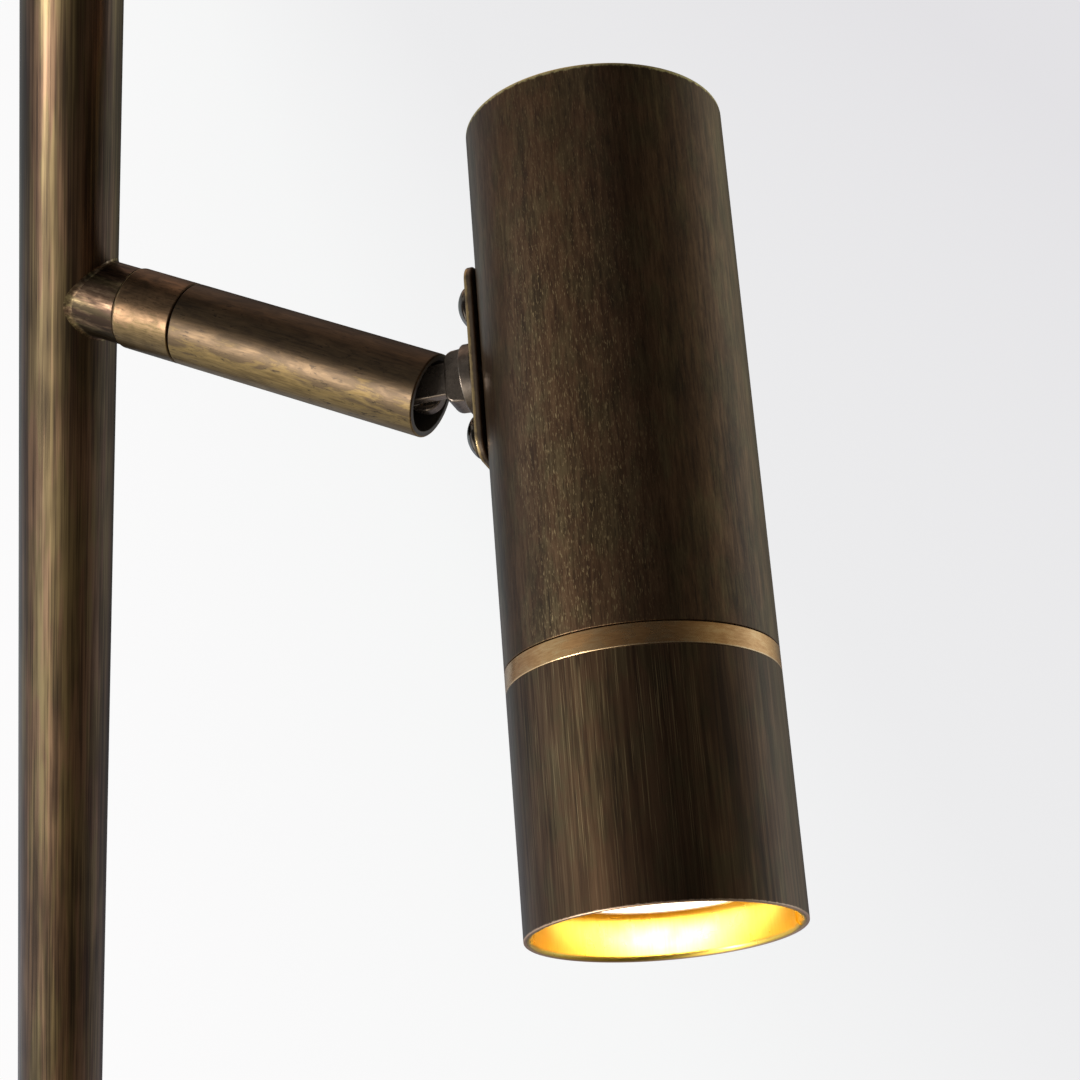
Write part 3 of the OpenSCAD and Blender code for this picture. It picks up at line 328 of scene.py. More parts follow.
def filleted(corners, steps=4):
    """Closed outline with eased corners: corner (x, y, r) becomes the arc that touches both of its sides at r
    from it, a rational quadratic curve whose middle weight is the sine of half the corner's angle."""
    outline = []
    count = len(corners)
    for i, (x, y, r) in enumerate(corners):
        here = np.array([x, y], float)
        if r == 0:
            outline.append(here)
            continue
        before, after = (np.array(corners[(i + k) % count][:2], float) for k in (-1, 1))
        a = here + (before - here) / np.linalg.norm(before - here) * r
        b = here + (after - here) / np.linalg.norm(after - here) * r
        weight = np.linalg.norm(a - b) / (2 * r)
        t = np.linspace(0, 1, steps + 1)[:, None]
        first, middle, last = (1 - t) ** 2, 2 * weight * t * (1 - t), t ** 2
        outline.extend((first * a + middle * here + last * b) / (first + middle + last))
    return np.array(outline)


def lathe(name, place, profile, sectors, closed):
    """Turned piece: each (r, z) of the profile goes round the axis as (r cos a, r sin a, z)."""
    a = np.linspace(0, 2 * np.pi, sectors, endpoint=False)[:, None]
    r, z = profile[None, :, 0], profile[None, :, 1]
    points = np.stack([r * np.cos(a), r * np.sin(a), z + 0 * a], -1)
    return skin(name, moved(points, place), round_u=True, round_v=closed)


def turned(name, place, corners, sectors=160, steps=4):
    """Turned piece from its section's corners (r, z, easing), solid where the section starts on the axis."""
    return lathe(name, place, filleted(corners, steps), sectors, closed=corners[0][0] > 0)


def tube(name, place, low, high, outer, inner, edge=0.3):
    """Tube between two heights with its edges eased."""
    return turned(name, place, [(inner, low, edge / 2), (outer, low, edge), (outer, high, edge),
                                (inner, high, edge / 2)])


def dressed(piece, body, slot, material, *nodes):
    """A finished piece: its body, its material and the CAD nodes that it stands for; slot, the record's slot, is not
    used.
    """
    piece.data.materials.append(material)
    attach(piece, body)
    if nodes:
        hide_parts(*nodes)
    return piece


def coat(material, *nodes):
    """Gives CAD nodes that are shown as they are their material."""
    for name in nodes:
        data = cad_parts[name].data
        data.materials.clear()
        data.materials.append(material)


def bronze(name, place, dark, brown, gold, fine, run, shine, clouds, more=None):
    """Brushed antique bronze: streaks fine across and run long, broad streaks and soft clouds of patina choose
    between dark, brown and gold, which is greener in some clouds; what is darker is rougher, and the brushing
    lifts the surface a little."""
    paint = Paint(name)
    hair = paint.noise(place, fine, run / fine, roughness=0.66)
    lines = paint.noise(place, 2.2, 30, (13, 7, 210), roughness=0.62)
    cloud = paint.noise(place, 17, 2.6, (31, 17, 70), roughness=0.55)
    hue = paint.noise(place, 3, 12, (17, 23, 110))
    worn = hair * 0.5 + lines * 0.5 + (cloud - 0.5) * clouds
    warm, olive = (paint.ramp(worn, *zip((0.39, 0.5, 0.61), np.multiply((dark, brown, gold), tint)))
                   for tint in ((1.04, 0.97, 0.96), (0.97, 1.06, 0.88)))
    return paint.surface(paint.mix(paint.smooth(hue, 0.42, 0.58), warm, olive),
                         paint.smooth(worn, 0.38, 0.62, shine + 0.08, shine), paint.bump(hair, 0.02, 0.35), more=more)


upright = Matrix.Identity(4)
pole_finish = bronze("pole_bronze", upright, (0.046, 0.027, 0.015), (0.112, 0.070, 0.039), (0.22, 0.145, 0.082),
                     0.55, 70, 0.29, 0.4, {"Coat Weight": 0.3, "Coat Roughness": 0.3})
dressed(tube("upper_pole_tube", upright, 1000, 1960, 12, 10.5), "pole", "pole_bronze", pole_finish, "upper_pole")
coat(pole_finish, "lower_pole", "telescope_tube")

# ---- Swivel of the side arm ----------------------------------------------------------------
# A short stub of bronzed brass, cut to the pole's round and brazed on, then a sleeve of the
# arm's own diameter. A thin dark seam divides the sleeve from the arm that turns on it.
arm_height = 1450
at_arm = Matrix.Translation((0, 0, arm_height * mm))
sideways = Matrix.Rotation(math.pi / 2, 4, "Y")
stub_place = at_arm @ sideways
arm_place = at_arm @ Matrix.Rotation(math.radians(-40.88), 4, "X")
along_arm = arm_place @ sideways

pole_round, stub_round, stub_end, thread_r = 12.05, 9.6, 19.7, 5.05
a = np.linspace(0, 2 * np.pi, 128, endpoint=False)[:, None]


def on_pole(r):
    """How far along the stub's axis the pole's round lies, at r from that axis: the root of R^2 - (r cos a)^2."""
    return np.sqrt(pole_round ** 2 - (r * np.cos(a)) ** 2)


def round_stub(name, x, r):
    """Closed skin about the stub's axis, through (x, r cos a, r sin a)."""
    points = np.stack([x, r * np.cos(a), r * np.sin(a)], -1)
    return skin(name, moved(points, at_arm), round_u=True, round_v=True)


# Rings from the saddle out to the end, over the end's eased edge and back along the bore.
radius = np.array([[stub_round] * 4 + [stub_round - 0.15] + [thread_r] * 2])
share = np.array([[0, 0.4, 0.8, 0.98, 1, 1, 0]])
saddle = on_pole(radius)
stub_finish = bronze("stub_bronze", stub_place, (0.05, 0.034, 0.024), (0.13, 0.088, 0.056), (0.30, 0.21, 0.13),
                     0.9, 4, 0.3, 0.9)
dressed(round_stub("stub", saddle + (stub_end - saddle) * share, radius), "pole", "swivel_bronze", stub_finish,
        "arm_stub")

# The bead is a hollow fillet of brazing metal between pole and stub, a little paler than both.
bead_width, bead_root = 0.8, 0.3
t = np.array([[0, 0.25, 0.5, 0.75, 1]])
face_r = stub_round + bead_width * (1 - t) ** 2
bead_x = np.hstack([on_pole(face_r) + bead_width * t ** 2, on_pole(stub_round) - bead_root])
bead_finish = bronze("braze_gold", stub_place, (0.06, 0.04, 0.026), (0.15, 0.105, 0.063), (0.36, 0.27, 0.165),
                     1.2, 2, 0.28, 0.6)
dressed(round_stub("braze_fillet", bead_x, np.append(face_r, [[stub_round - bead_root]], 1)), "pole", "braze_gold",
        bead_finish, "braze_bead")

arm_r, arm_bore = 10, 8.5
seam = (35.8, 36.2)


# Marks edges rubbed bare and edges given a painted highlight.
def edge_wear_and_sheen(paint, place, heights, wide, grain):
    """Mask that is 1 within about wide of the given heights of the frame's z axis, ragged by noise."""
    height = paint.axes(place)[2]
    ragged = (paint.noise(place, grain, roughness=0.7) - 0.5) * (wide * 1.4)
    return sum(paint.smooth((height - edge).size() + ragged, wide * 0.4, wide, 1.0, 0.0) for edge in heights)


def lit_below_brass(name, place, run, level, dark, brown, tan, gold, wall, highlit_end=None):
    """Hand-patinated brass: brown above the height level and gold below it, a painted shade on the upper side and
    painted light on the underside, ragged along the brushing, with small dark pits left in the gold, dark clouds
    in the brown, a painted highlight along one end and dull metal inside the wall."""
    paint = Paint(name)
    hair = paint.noise(place, 0.5, run * 4, detail=4.0, roughness=0.66)
    patch = paint.noise(place, 3.4, run, detail=5.0, roughness=0.66, distortion=0.5)
    above = paint.axes(upright)[2] - level
    # Gold below the height level and brown above it: painted light under the tube, painted shade on top.
    lit_underside = paint.smooth(above + (patch - 0.5) * 26 + (hair - 0.5) * 12, -3.0, 2.0, 1.0, 0.0)
    deep = paint.ramp(patch * 0.6 + hair * 0.4, (0.38, dark), (0.60, brown))
    bright = paint.ramp(patch * 0.45 + hair * 0.55, (0.38, tan), (0.6, gold))
    tone = paint.mix(lit_underside, deep, bright)
    pits = paint.noise(place, 0.8, 3.2, (10, 20, 30), roughness=0.65)
    tone = paint.mix(paint.smooth(pits, 0.60, 0.66) * paint.smooth(patch, 0.42, 0.52) * 0.9, tone, dark)
    # A painted highlight along the edge at one end.
    if highlit_end:
        tone = paint.mix(edge_wear_and_sheen(paint, place, (highlit_end,), 0.5, 1.0) * 0.8, tone, (0.62, 0.47, 0.26))
    inside = paint.smooth(paint.off_axis(place), wall - 0.3, wall, 1.0, 0.0)
    tone = paint.mix(inside, tone, (0.10, 0.085, 0.068))
    return paint.surface(tone, paint.smooth(patch, 0.35, 0.65, 0.46, 0.36),
                         paint.bump(hair * 0.6 + pits * 0.4, 0.04, 0.4), 1.0 - inside * 0.5,
                         {"Coat Weight": 0.25, "Coat Roughness": 0.35})


# The sleeve's brown top is painted shade and its gold underside painted light.
sleeve_finish = lit_below_brass("sleeve_bronze", stub_place, 1.6, arm_height + 1.5, (0.085, 0.053, 0.028),
                         (0.25, 0.150, 0.076), (0.105, 0.068, 0.028), (0.24, 0.163, 0.070), 9.4, highlit_end=20.1)
dressed(turned("swivel_sleeve_turned", stub_place,
               [(thread_r, stub_end, 0), (9.4, stub_end, 0.15), (arm_r, 20.4, 0.2), (arm_r, seam[0], 0.35),
                (thread_r, seam[0], 0)]), "pole", "swivel_bronze", sleeve_finish, "swivel_sleeve")


def plain_metal(name, colour, rough, mottling=0.25):
    """Plain metal with a fine mottling of its tone and a slightly uneven surface."""
    paint = Paint(name)
    tone = paint.noise(upright, 0.5)
    broad = paint.noise(upright, 7, detail=2.0, roughness=0.5)
    low, high = np.multiply(colour, 1 - mottling), np.multiply(colour, 1 + mottling)
    return paint.surface(paint.ramp(tone * 0.5 + broad * 0.5, (0.35, low), (0.65, high)),
                         paint.smooth(tone, 0.3, 0.7, rough + 0.08, rough - 0.06), paint.bump(tone, 0.01, 0.4))


brass = plain_metal("plain_brass", (0.62, 0.46, 0.24), 0.3)
steel = plain_metal("plain_steel", (0.42, 0.42, 0.41), 0.38)
polished = plain_metal("polished_steel", (0.60, 0.60, 0.59), 0.16, mottling=0.08)
blackened = plain_metal("blackened_steel", (0.10, 0.085, 0.075), 0.34)
coat(brass, "swivel_nipple", "swivel_nut", "arm_bush", "terminal_screws")
coat(steel, "stop_pin", "swivel_washer", "arm_end_plug", "pole_joiner", "spring_seat", "spring_seat_pin",
     "plunger_piston", "stem_nut", "holder_bracket", "holder_screws")
coat(polished, "plunger_rod", "lamp_pins")
coat(blackened, "joiner_screws", "foot_grub_screw", "cup_grub_screw")

# ---- Arm -----------------------------------------------------------------------------------
# Brass tube with an open, eased end. Its patina is brown above and gold below, in ragged patches:
# the darker top is painted shade and the gold underside is painted light.
arm_finish = lit_below_brass("arm_brass", along_arm, 3.5, arm_height - 0.5, (0.045, 0.030, 0.017),
                      (0.130, 0.085, 0.044), (0.158, 0.103, 0.038), (0.38, 0.260, 0.098), 9.75)
dressed(tube("arm_tube_drawn", along_arm, seam[1], 103.2, arm_r, arm_bore, 0.35), "arm", "arm_brass", arm_finish,
        "arm_tube")

# ---- Knuckle -------------------------------------------------------------------------------
# Two cast tongues on a screw: the arm's grows from a round block inside the tube, the head's
# from a round-cornered block on a base disc. Blackened brown and smooth from handling, with
# painted highlights along the sharp edges.
arm_knuckle = arm_place @ Matrix.Translation((98.43 * mm, 0, 0))
head_knuckle = arm_knuckle @ Matrix.Rotation(math.radians(-27.15), 4, "Y")
# A tongue's thickness, a slab's z, goes along the hinge, and its outline lies in the plane of the tilt.
across_hinge = Matrix(((1, 0, 0, 0), (0, 0, 1, 0), (0, 1, 0, 0), (0, 0, 0, 1)))
tongue_half, tongue_in, tongue_out, tongue_edge = 4, 0.35, 3.45, 0.5
paint = Paint("knuckle_metal")
cast = paint.noise(arm_knuckle, 0.9)
rub = paint.noise(arm_knuckle, 5)
edge = paint.node("NewGeometry")["Pointiness"]
tone = paint.ramp(rub * 0.7 + cast * 0.3, (0.35, (0.10, 0.082, 0.066)), (0.65, (0.21, 0.172, 0.136)))
# Sharp edges, where pointiness is high, are painted paler: a painted edge highlight.
tone = paint.mix(paint.smooth(edge + (cast - 0.5) * 0.06, 0.52, 0.6), tone, (0.42, 0.34, 0.27))
knuckle_finish = paint.surface(tone, paint.smooth(rub, 0.35, 0.65, 0.34, 0.22), paint.bump(cast, 0.03, 0.5), 0.78)


def slab(name, place, outline, low, high, edge, steps=4):
    """Plate with rounded edges: the outline is drawn in by edge (1 - sin t) at a height edge (1 - cos t) above
    its lower face, goes straight up and closes in the same way; flat faces close both ends."""
    ahead, behind = np.roll(outline, -1, 0), np.roll(outline, 1, 0)
    along = (ahead - behind) / np.linalg.norm(ahead - behind, axis=1)[:, None]
    outward = np.stack([along[:, 1], -along[:, 0]], 1)
    outward *= np.sign(np.sum(outline[:, 0] * ahead[:, 1] - ahead[:, 0] * outline[:, 1]))
    t = np.linspace(0, np.pi / 2, steps + 1)
    inset = np.concatenate([edge * (1 - np.sin(t)), edge * (1 - np.sin(t[::-1]))])
    height = np.concatenate([low + edge * (1 - np.cos(t)), high - edge * (1 - np.cos(t[::-1]))])
    rings = outline[None] - inset[:, None, None] * outward[None]
    points = np.concatenate([rings, np.broadcast_to(height[:, None, None], (*rings.shape[:2], 1))], -1)
    layers, count = points.shape[:2]
    u, v = np.arange(layers - 1)[:, None], np.arange(count)[None, :]
    v2 = (v + 1) % count
    quads = np.stack([u * count + v, u * count + v2, (u + 1) * count + v2, (u + 1) * count + v], -1)
    faces = quads.reshape(-1, 4).tolist()
    faces += [list(range(count))[::-1], list(range((layers - 1) * count, layers * count))]
    return finished(name, moved(points.reshape(-1, 3), place), faces)


def tongue(name, place, tip, root, low, high):
    """Cast tongue: its outline goes round the tip by half its width and straight on to a square root."""
    t = np.linspace(-np.pi / 2, np.pi / 2, 20)
    side = 1 if tip > root else -1
    arc = np.stack([tip + side * tongue_half * np.cos(t), tongue_half * np.sin(t)], 1)
    outline = np.concatenate([arc, [[root, tongue_half], [root, -tongue_half]]])
    return slab(name, place @ across_hinge, outline, low, high, tongue_edge)


def rod(name, place, low, high, r, foot=0, top=0, sectors=48):
    """Solid round between two heights, its lower edge eased by foot and its upper by top."""
    return turned(name, place, [(0, low, 0), (r, low, foot), (r, high, top), (0, high, 0)], sectors)


def joined(name, *pieces):
    """One object from several that are one casting."""
    with bpy.context.temp_override(active_object=pieces[0], selected_editable_objects=list(pieces)):
        bpy.ops.object.join()
    pieces[0].name = name
    return pieces[0]


stem_bore, stem_r = 2.2, 4
from_arm, from_head = arm_knuckle @ sideways, head_knuckle @ sideways
arm_tongue = tongue("arm_tongue", arm_knuckle, 3, -5.5, tongue_in, tongue_out)
arm_block = rod("arm_block", from_arm, -6.8, -4.3, 6.3, 0.4, 0.6, 64)
arm_stem = turned("arm_stem", from_arm, [(stem_bore, -20.8, 0), (stem_r, -20.8, 0.3), (stem_r, -6, 0),
                                         (stem_bore, -6, 0)], 48)
dressed(joined("arm_knuckle_half", arm_tongue, arm_block, arm_stem), "arm", "knuckle_metal", knuckle_finish,
        "knuckle_arm_half")

block_out, block_in, block_half, block_round = 8.6, 13.4, 6.5, 2.5
base_out, plate_out = 13.2, 16.2
head_tongue = tongue("head_tongue", head_knuckle, 0, 11, -tongue_out, -tongue_in)
outline = filleted([(block_out, -block_half, block_round), (block_in, -block_half, 0), (block_in, block_half, 0),
                    (block_out, block_half, block_round)], 8)
head_block = slab("head_block", head_knuckle @ across_hinge, outline, -4, 4, 0.6)
head_base = rod("head_base", from_head, base_out, plate_out, 8.3, 0.5, 0.3, 96)
head_stem = turned("head_stem", from_head, [(stem_bore, 16, 0), (stem_r, 16, 0), (stem_r, 27, 0.3),
                                            (stem_bore, 27, 0)], 48)
dressed(joined("head_knuckle_half", head_tongue, head_block, head_base, head_stem), "head", "knuckle_metal",
        knuckle_finish, "knuckle_head_half")

# The hinge screw has a domed head with a shallow round recess.
hinge_line = head_knuckle @ Matrix.Rotation(math.pi / 2, 4, "X")
screw = turned("hinge_head", hinge_line, [(0, 3.5, 0), (2.7, 3.5, 0.2), (2.7, 5.3, 0.7), (1.0, 5.3, 0),
                                          (0.9, 4.6, 0), (0, 4.6, 0)], 48)
shank = rod("hinge_shank", hinge_line, -6.55, 3.6, 1.5, 0.2, sectors=32)
dressed(joined("hinge_screw", screw, shank), "arm", "dark_screw", blackened, "knuckle_screw")
coat(blackened, "knuckle_nut")

# ---- Mount plate ---------------------------------------------------------------------------
# Flat strip of bronzed sheet that holds the knuckle to the head, with round-edged corners,
# a painted highlight along the outer face's edge, and two domed cross-recess screws.
head_place = head_knuckle @ Matrix.Translation((48 * mm, 0, 57.6 * mm))
head_r, head_bore = 30, 28.5
plate_mid, half_long, half_wide, plate_t = -55.8, 24.25, 8.5, 1.8
plate_face = head_r + plate_t
turned_left = Matrix.Rotation(-math.pi / 2, 4, "Y")
paint = Paint("plate_bronze")
cloud = paint.noise(head_place, 4)
hair = paint.noise(head_place, 0.5, 9)
tone = paint.ramp(cloud * 0.6 + hair * 0.4, (0.36, (0.085, 0.062, 0.044)), (0.64, (0.19, 0.138, 0.092)))
# A painted highlight along the outer face's edge, broken up by the clouds.
edge = edge_wear_and_sheen(paint, head_place @ turned_left, (plate_face - 0.4,), 0.45, 1.5)
tone = paint.mix(edge * paint.smooth(cloud, 0.36, 0.52, 0.4, 1.0), tone, (0.44, 0.32, 0.15))
plate_finish = paint.surface(tone, paint.smooth(cloud, 0.35, 0.65, 0.40, 0.28), paint.bump(hair, 0.02, 0.4), 0.7)


def oblong(x, half_x, half_y, r=0, steps=6):
    """Outline of a rectangle about (x, 0) with its corners eased by r."""
    return filleted([(x + i * half_x, j * half_y, r) for i, j in ((-1, -1), (1, -1), (1, 1), (-1, 1))], steps)


# The outline goes along the head's axis and across it, and the sheet's thickness outwards from the tube.
face_out = Matrix(((0, 0, 1, 0), (0, 1, 0, 0), (1, 0, 0, 0), (0, 0, 0, 1)))
sheet = slab("mount_plate_sheet", head_place @ face_out, oblong(plate_mid, half_long, half_wide, 5, 10), -plate_face,
             -head_r, 0.45)
dressed(sheet, "head", "plate_metal", plate_finish, "mount_plate")


def carved(piece, cutters):
    """The piece less its cutters, which are used up."""
    for cutter in cutters:
        cut = piece.modifiers.new("cut", "BOOLEAN")
        cut.object, cut.operation, cut.solver = cutter, "DIFFERENCE", "EXACT"
        piece.modifiers.move(len(piece.modifiers) - 1, 0)
    level = piece.modifiers["even_normals"]
    level.show_viewport = False
    graph = bpy.context.evaluated_depsgraph_get()
    mesh = bpy.data.meshes.new_from_object(piece.evaluated_get(graph))
    for cutter in cutters:
        piece.modifiers.remove(piece.modifiers[0])
        bpy.data.objects.remove(cutter)
    level.show_viewport = True
    mesh.set_sharp_from_angle(angle=crisp_angle)
    piece.data = mesh
    return piece


# Screws: a flat dome on a short upright rim, 4 mm high in all, has a cross cut into it.
out_of_plate = head_place @ Matrix.Translation((-plate_face * mm, 0, 0)) @ turned_left
cross_turn = Matrix.Rotation(math.radians(20), 4, "Z")
dome_half, rim_high, dome_high, ball, shank_r, shank_end = 4.9, 1.75, 3.9, 6.8, 2, -6.2
t = np.linspace(0, math.asin((dome_half - 0.3) / ball), 18)
dome = np.stack([ball * np.sin(t), dome_high - ball * (1 - np.cos(t))], 1)
profile = np.concatenate([dome, [[dome_half, rim_high], [dome_half, 0], [shank_r, 0], [shank_r, shank_end],
                                 [0, shank_end]]])
screws = []
for name, height in (("upper_plate_screw", plate_mid + 16.0), ("lower_plate_screw", plate_mid - 16.5)):
    seat = out_of_plate @ Matrix.Translation((height * mm, 0, 0)) @ cross_turn
    bars = [slab(name + side, seat, oblong(0, w, h), 2.6, 5, 0.05)
            for side, w, h in (("_a", 2.3, 0.5), ("_b", 0.5, 2.3))]
    screws.append(carved(lathe(name, seat, profile, 64, closed=False), bars))
dressed(joined("plate_screws_domed", *screws), "head", "plate_screw_metal",
        plain_metal("plate_screws", (0.20, 0.175, 0.145), 0.14), "plate_screws")

# ---- Housing -------------------------------------------------------------------------------
# Long upper tube of the head, brushed lengthwise and patinated nearly black. The brushing
# breaks up into specks of gold, thickest in a painted sheen down the side that faces the light, and
# the rim's edge is painted a brass line, partly rubbed bare and partly a painted highlight.


def shell_bronze(name, level, lit_worn_rim, rim_width, gold_line, drawn, run, specks, lit_strip):
    """Brushed bronze of the head's tubes, level times as bright as the housing's: streaks of brown drawn times as
    long as wide, redder in some clouds and greener in others, fine dark hairs, gold specks run times as long as
    wide, thicker in a painted sheen on the side that faces the light, where the strip function says from facing
    and height, for facing the cosine of the angle from the tube's left, with stronger streaks there too, and a
    rim at the rim height painted gold_line, partly rubbed bare and partly a painted highlight."""
    paint = Paint(name)
    streak = paint.noise(head_place, 0.8, drawn, detail=4.0, roughness=0.62)
    broad = paint.noise(head_place, 3.2, 22, (17, 9, 130), 2.0, 0.5)
    cloud = paint.noise(head_place, 8, 3, (31, 17, 70), roughness=0.55)
    hue = paint.noise(head_place, 5, 2, (11, 27, 50))
    hair = paint.noise(head_place, 0.3, 2 * drawn, (13, 7, 210), 2.0)
    fleck = paint.noise(head_place, 0.24, run, (3, 11, 50), 2.0)
    x, y, z = paint.axes(head_place)
    facing = (x * -0.139 + y * -0.990) / head_r
    # The side that faces the light gets a painted sheen: more gold specks and stronger streaks.
    sheen_zone = lit_strip(paint, facing + (cloud - 0.5) * 0.3, z + (cloud - 0.5) * 30)
    worn = streak * 0.45 + cloud * 0.3 + broad * 0.25 + sheen_zone * (streak - 0.38) * 0.45
    reds = (0.066, 0.035, 0.018), (0.125, 0.067, 0.032), (0.21, 0.118, 0.057)
    greens = (0.056, 0.035, 0.017), (0.110, 0.070, 0.032), (0.19, 0.128, 0.059)
    red, green = (paint.ramp(worn, *zip((0.38, 0.5, 0.62), np.multiply(tones, level))) for tones in (reds, greens))
    tone = paint.mix(paint.smooth(hue, 0.44, 0.64), red, green)
    tone = paint.mix(paint.smooth(hair, 0.40, 0.32) * 0.6, tone, (0.040, 0.026, 0.016))
    tone = paint.mix(paint.smooth(fleck, 0.57, 0.69) * (sheen_zone + 0.1).clamped() * specks, tone, (0.46, 0.33, 0.16))
    # The rim's bright line is partly rubbed bare and partly a painted highlight.
    tone = paint.mix(edge_wear_and_sheen(paint, head_place, (lit_worn_rim,), rim_width, 1.2) * 0.9, tone, gold_line)
    return paint.surface(tone, paint.smooth(worn, 0.38, 0.62, 0.46, 0.37),
                         paint.bump(hair * 0.6 + fleck * 0.4, 0.03, 0.35),
                         more={"Coat Weight": 0.32, "Coat Roughness": 0.32})


def housing_lit_strip(paint, facing, height):
    """Painted sheen in a strip down the lit left side, and more above the band."""
    strip = paint.smooth(facing, 0.80, 0.98) * paint.smooth(height, -10, -60, 0.2, 0.7)
    return (strip + paint.smooth(facing, 0.90, 1.0) * paint.smooth(height, -118, -130)).clamped()


housing_finish = shell_bronze("housing_bronze", 1.0, 0.0, 1.1, (0.85, 0.72, 0.33), 9, 6, 1.0, housing_lit_strip)
band_top, band_low, rim = -132, -137, -191
housing = turned("housing_tube_drawn", head_place, [(head_bore, band_top, 0.1), (head_r, band_top, 0.2),
                                                    (head_r, 0, 0.4), (head_bore, 0, 0.3)], 192, 5)
dressed(housing, "head", "housing_bronze", housing_finish, "housing_tube")

# ---- Top cap -------------------------------------------------------------------------------
# Pressed cap set 3 mm into the housing's top, with eight slots that let the lamp's heat out.
fit_r, sleeve_bore = 28.45, 27.25
cap = turned("top_cap_pressed", head_place, [(0, -3, 0), (fit_r, -3, 0.8), (fit_r, -12, 0), (sleeve_bore, -12, 0),
                                             (sleeve_bore, -4.2, 0.4), (0, -4.2, 0)], steps=5)
slots = [slab("slot_%d" % i, head_place @ Matrix.Rotation(i * math.pi / 4, 4, "Z"), oblong(17.95, 3.5, 1.5, 1.45),
              -5, -2, 0.01, 1) for i in range(8)]
cap_finish = bronze("cap_bronze", head_place, (0.035, 0.025, 0.018), (0.085, 0.058, 0.038), (0.22, 0.155, 0.09),
                    0.6, 0.6, 0.38, 0.6)
dressed(carved(cap, slots), "head", "cap_bronze", cap_finish, "top_cap")

# ---- Accent band ---------------------------------------------------------------------------
# Copper ring let in flush between the two tubes, on a sleeve that reaches into both. It is
# lacquered, satin and warm, a little browner where the lacquer has aged, with a painted highlight
# along each edge.
paint = Paint("band_copper")
round_grain = paint.noise(head_place, 2.4, 1 / 8)
aged = paint.noise(head_place, 7, 0.5, detail=4.0, roughness=0.62)
flecks = paint.smooth(paint.noise(head_place, 0.6, 1.6, detail=2.0, roughness=0.7), 0.66, 0.74)
tone = paint.ramp(aged * 0.65 + round_grain * 0.35, (0.36, (0.55, 0.275, 0.10)), (0.5, (0.74, 0.41, 0.165)),
                  (0.64, (0.88, 0.56, 0.265)))
tone = paint.mix(flecks * 0.4, tone, (0.60, 0.30, 0.13))
# Painted highlights along both edges of the band.
rub = edge_wear_and_sheen(paint, head_place, (band_top, band_low), 0.35, 0.8)
tone = paint.mix(rub * 0.6, tone, (0.95, 0.72, 0.42))
band_finish = paint.surface(tone, paint.smooth(aged, 0.35, 0.65, 0.32, 0.22), paint.bump(round_grain, 0.01, 0.4),
                            more={"Coat Weight": 0.3, "Coat Roughness": 0.2})
band = turned("accent_band_turned", head_place,
              [(sleeve_bore, -147, 0), (fit_r, -147, 0.2), (fit_r, band_low - 0.05, 0),
               (head_r - 0.15, band_low + 0.02, 0), (head_r, band_low + 0.2, 0), (head_r, band_top - 0.35, 0),
               (head_r - 0.35, band_top - 0.05, 0), (fit_r, band_top + 0.05, 0), (fit_r, -122, 0.2),
               (sleeve_bore, -122, 0)], 192, 3)
dressed(band, "head", "band_copper", band_finish, "accent_ring")

# ---- Shade ---------------------------------------------------------------------------------
# Lower tube of the head, of the same bronze with longer, clearer brush lines and a painted sheen
# on the side that faces the light, its mouth's edge chamfered inside and painted pink, partly worn
# with handling and partly a painted highlight.


def shade_lit_strip(paint, facing, height):
    """Painted sheen on the lit left side, away from the ends."""
    return paint.smooth(facing, 0.62, 0.95) * paint.smooth(height, rim + 8, rim + 26, 0.2, 1.0)


shade_finish = shell_bronze("shade_bronze", 0.78, rim, 0.5, (0.80, 0.56, 0.38), 40, 90, 0.6, shade_lit_strip)
shade = turned("shade_tube_drawn", head_place, [(head_bore, rim + 1.1, 0.2), (29.45, rim, 0.1), (head_r, rim, 0.25),
                                                (head_r, band_low, 0.3), (head_bore, band_low, 0.15)], 192)
dressed(shade, "head", "shade_bronze", shade_finish, "shade_tube")

# ---- Gold liner ----------------------------------------------------------------------------
# Thin sheet of gold-coloured aluminium rolled into the shade, one end lapped over the other,
# and flared at the mouth to the shade's chamfer. It mirrors the lamp softly.
liner_thick, liner_high, flare, lap, lap_turn = 0.4, -147.3, 0.8, 0.45, 10
liner_in = fit_r - liner_thick
# The section goes up outside and down inside; round the roll, the first 10 degrees come down
# from the lap by a smooth step t * t * (3 - 2 t), and the last 4 lie under them.
section = np.array([(fit_r + flare, rim + 0.12), (fit_r, rim + 1.2), (fit_r, liner_high), (liner_in, liner_high),
                    (liner_in, rim + 1.1), (liner_in + flare, rim + 0.12)])
turn = np.linspace(0, 364, 200)[:, None]
a = np.radians(22 + turn)
t = np.clip(turn / lap_turn, 0, 1)
r = section[None, :, 0] - lap * (1 - t * t * (3 - 2 * t))
points = np.stack([r * np.cos(a), r * np.sin(a), section[None, :, 1] + 0 * a], -1)
ends = points[[0, -1]].mean(1, keepdims=True).repeat(len(section), 1)
points = np.concatenate([ends[:1], points, ends[1:]])
paint = Paint("gold_sheet")
rolled = paint.noise(head_place, 0.5, 18)
haze = paint.noise(head_place, 9)
tone = paint.ramp(haze * 0.6 + rolled * 0.4, (0.36, (0.86, 0.58, 0.095)), (0.64, (0.94, 0.70, 0.145)))
gold_finish = paint.surface(tone, paint.smooth(haze, 0.3, 0.7, 0.34, 0.26), paint.bump(rolled, 0.01, 0.3))
dressed(skin("liner_sheet", moved(points, head_place), round_v=True), "head", "gold_sheet", gold_finish,
        "gold_liner")

# ---- Lamp ----------------------------------------------------------------------------------
# Reflector lamp of 50 mm with a white bowl and a pressed front glass, warm white and lit. The
# ceramic holder, the terminal block and the leads behind it keep their CAD shapes.
face, lamp_r = -181.5, 25
paint = Paint("lamp_body")
powder = paint.noise(head_place, 0.4, detail=2.0)
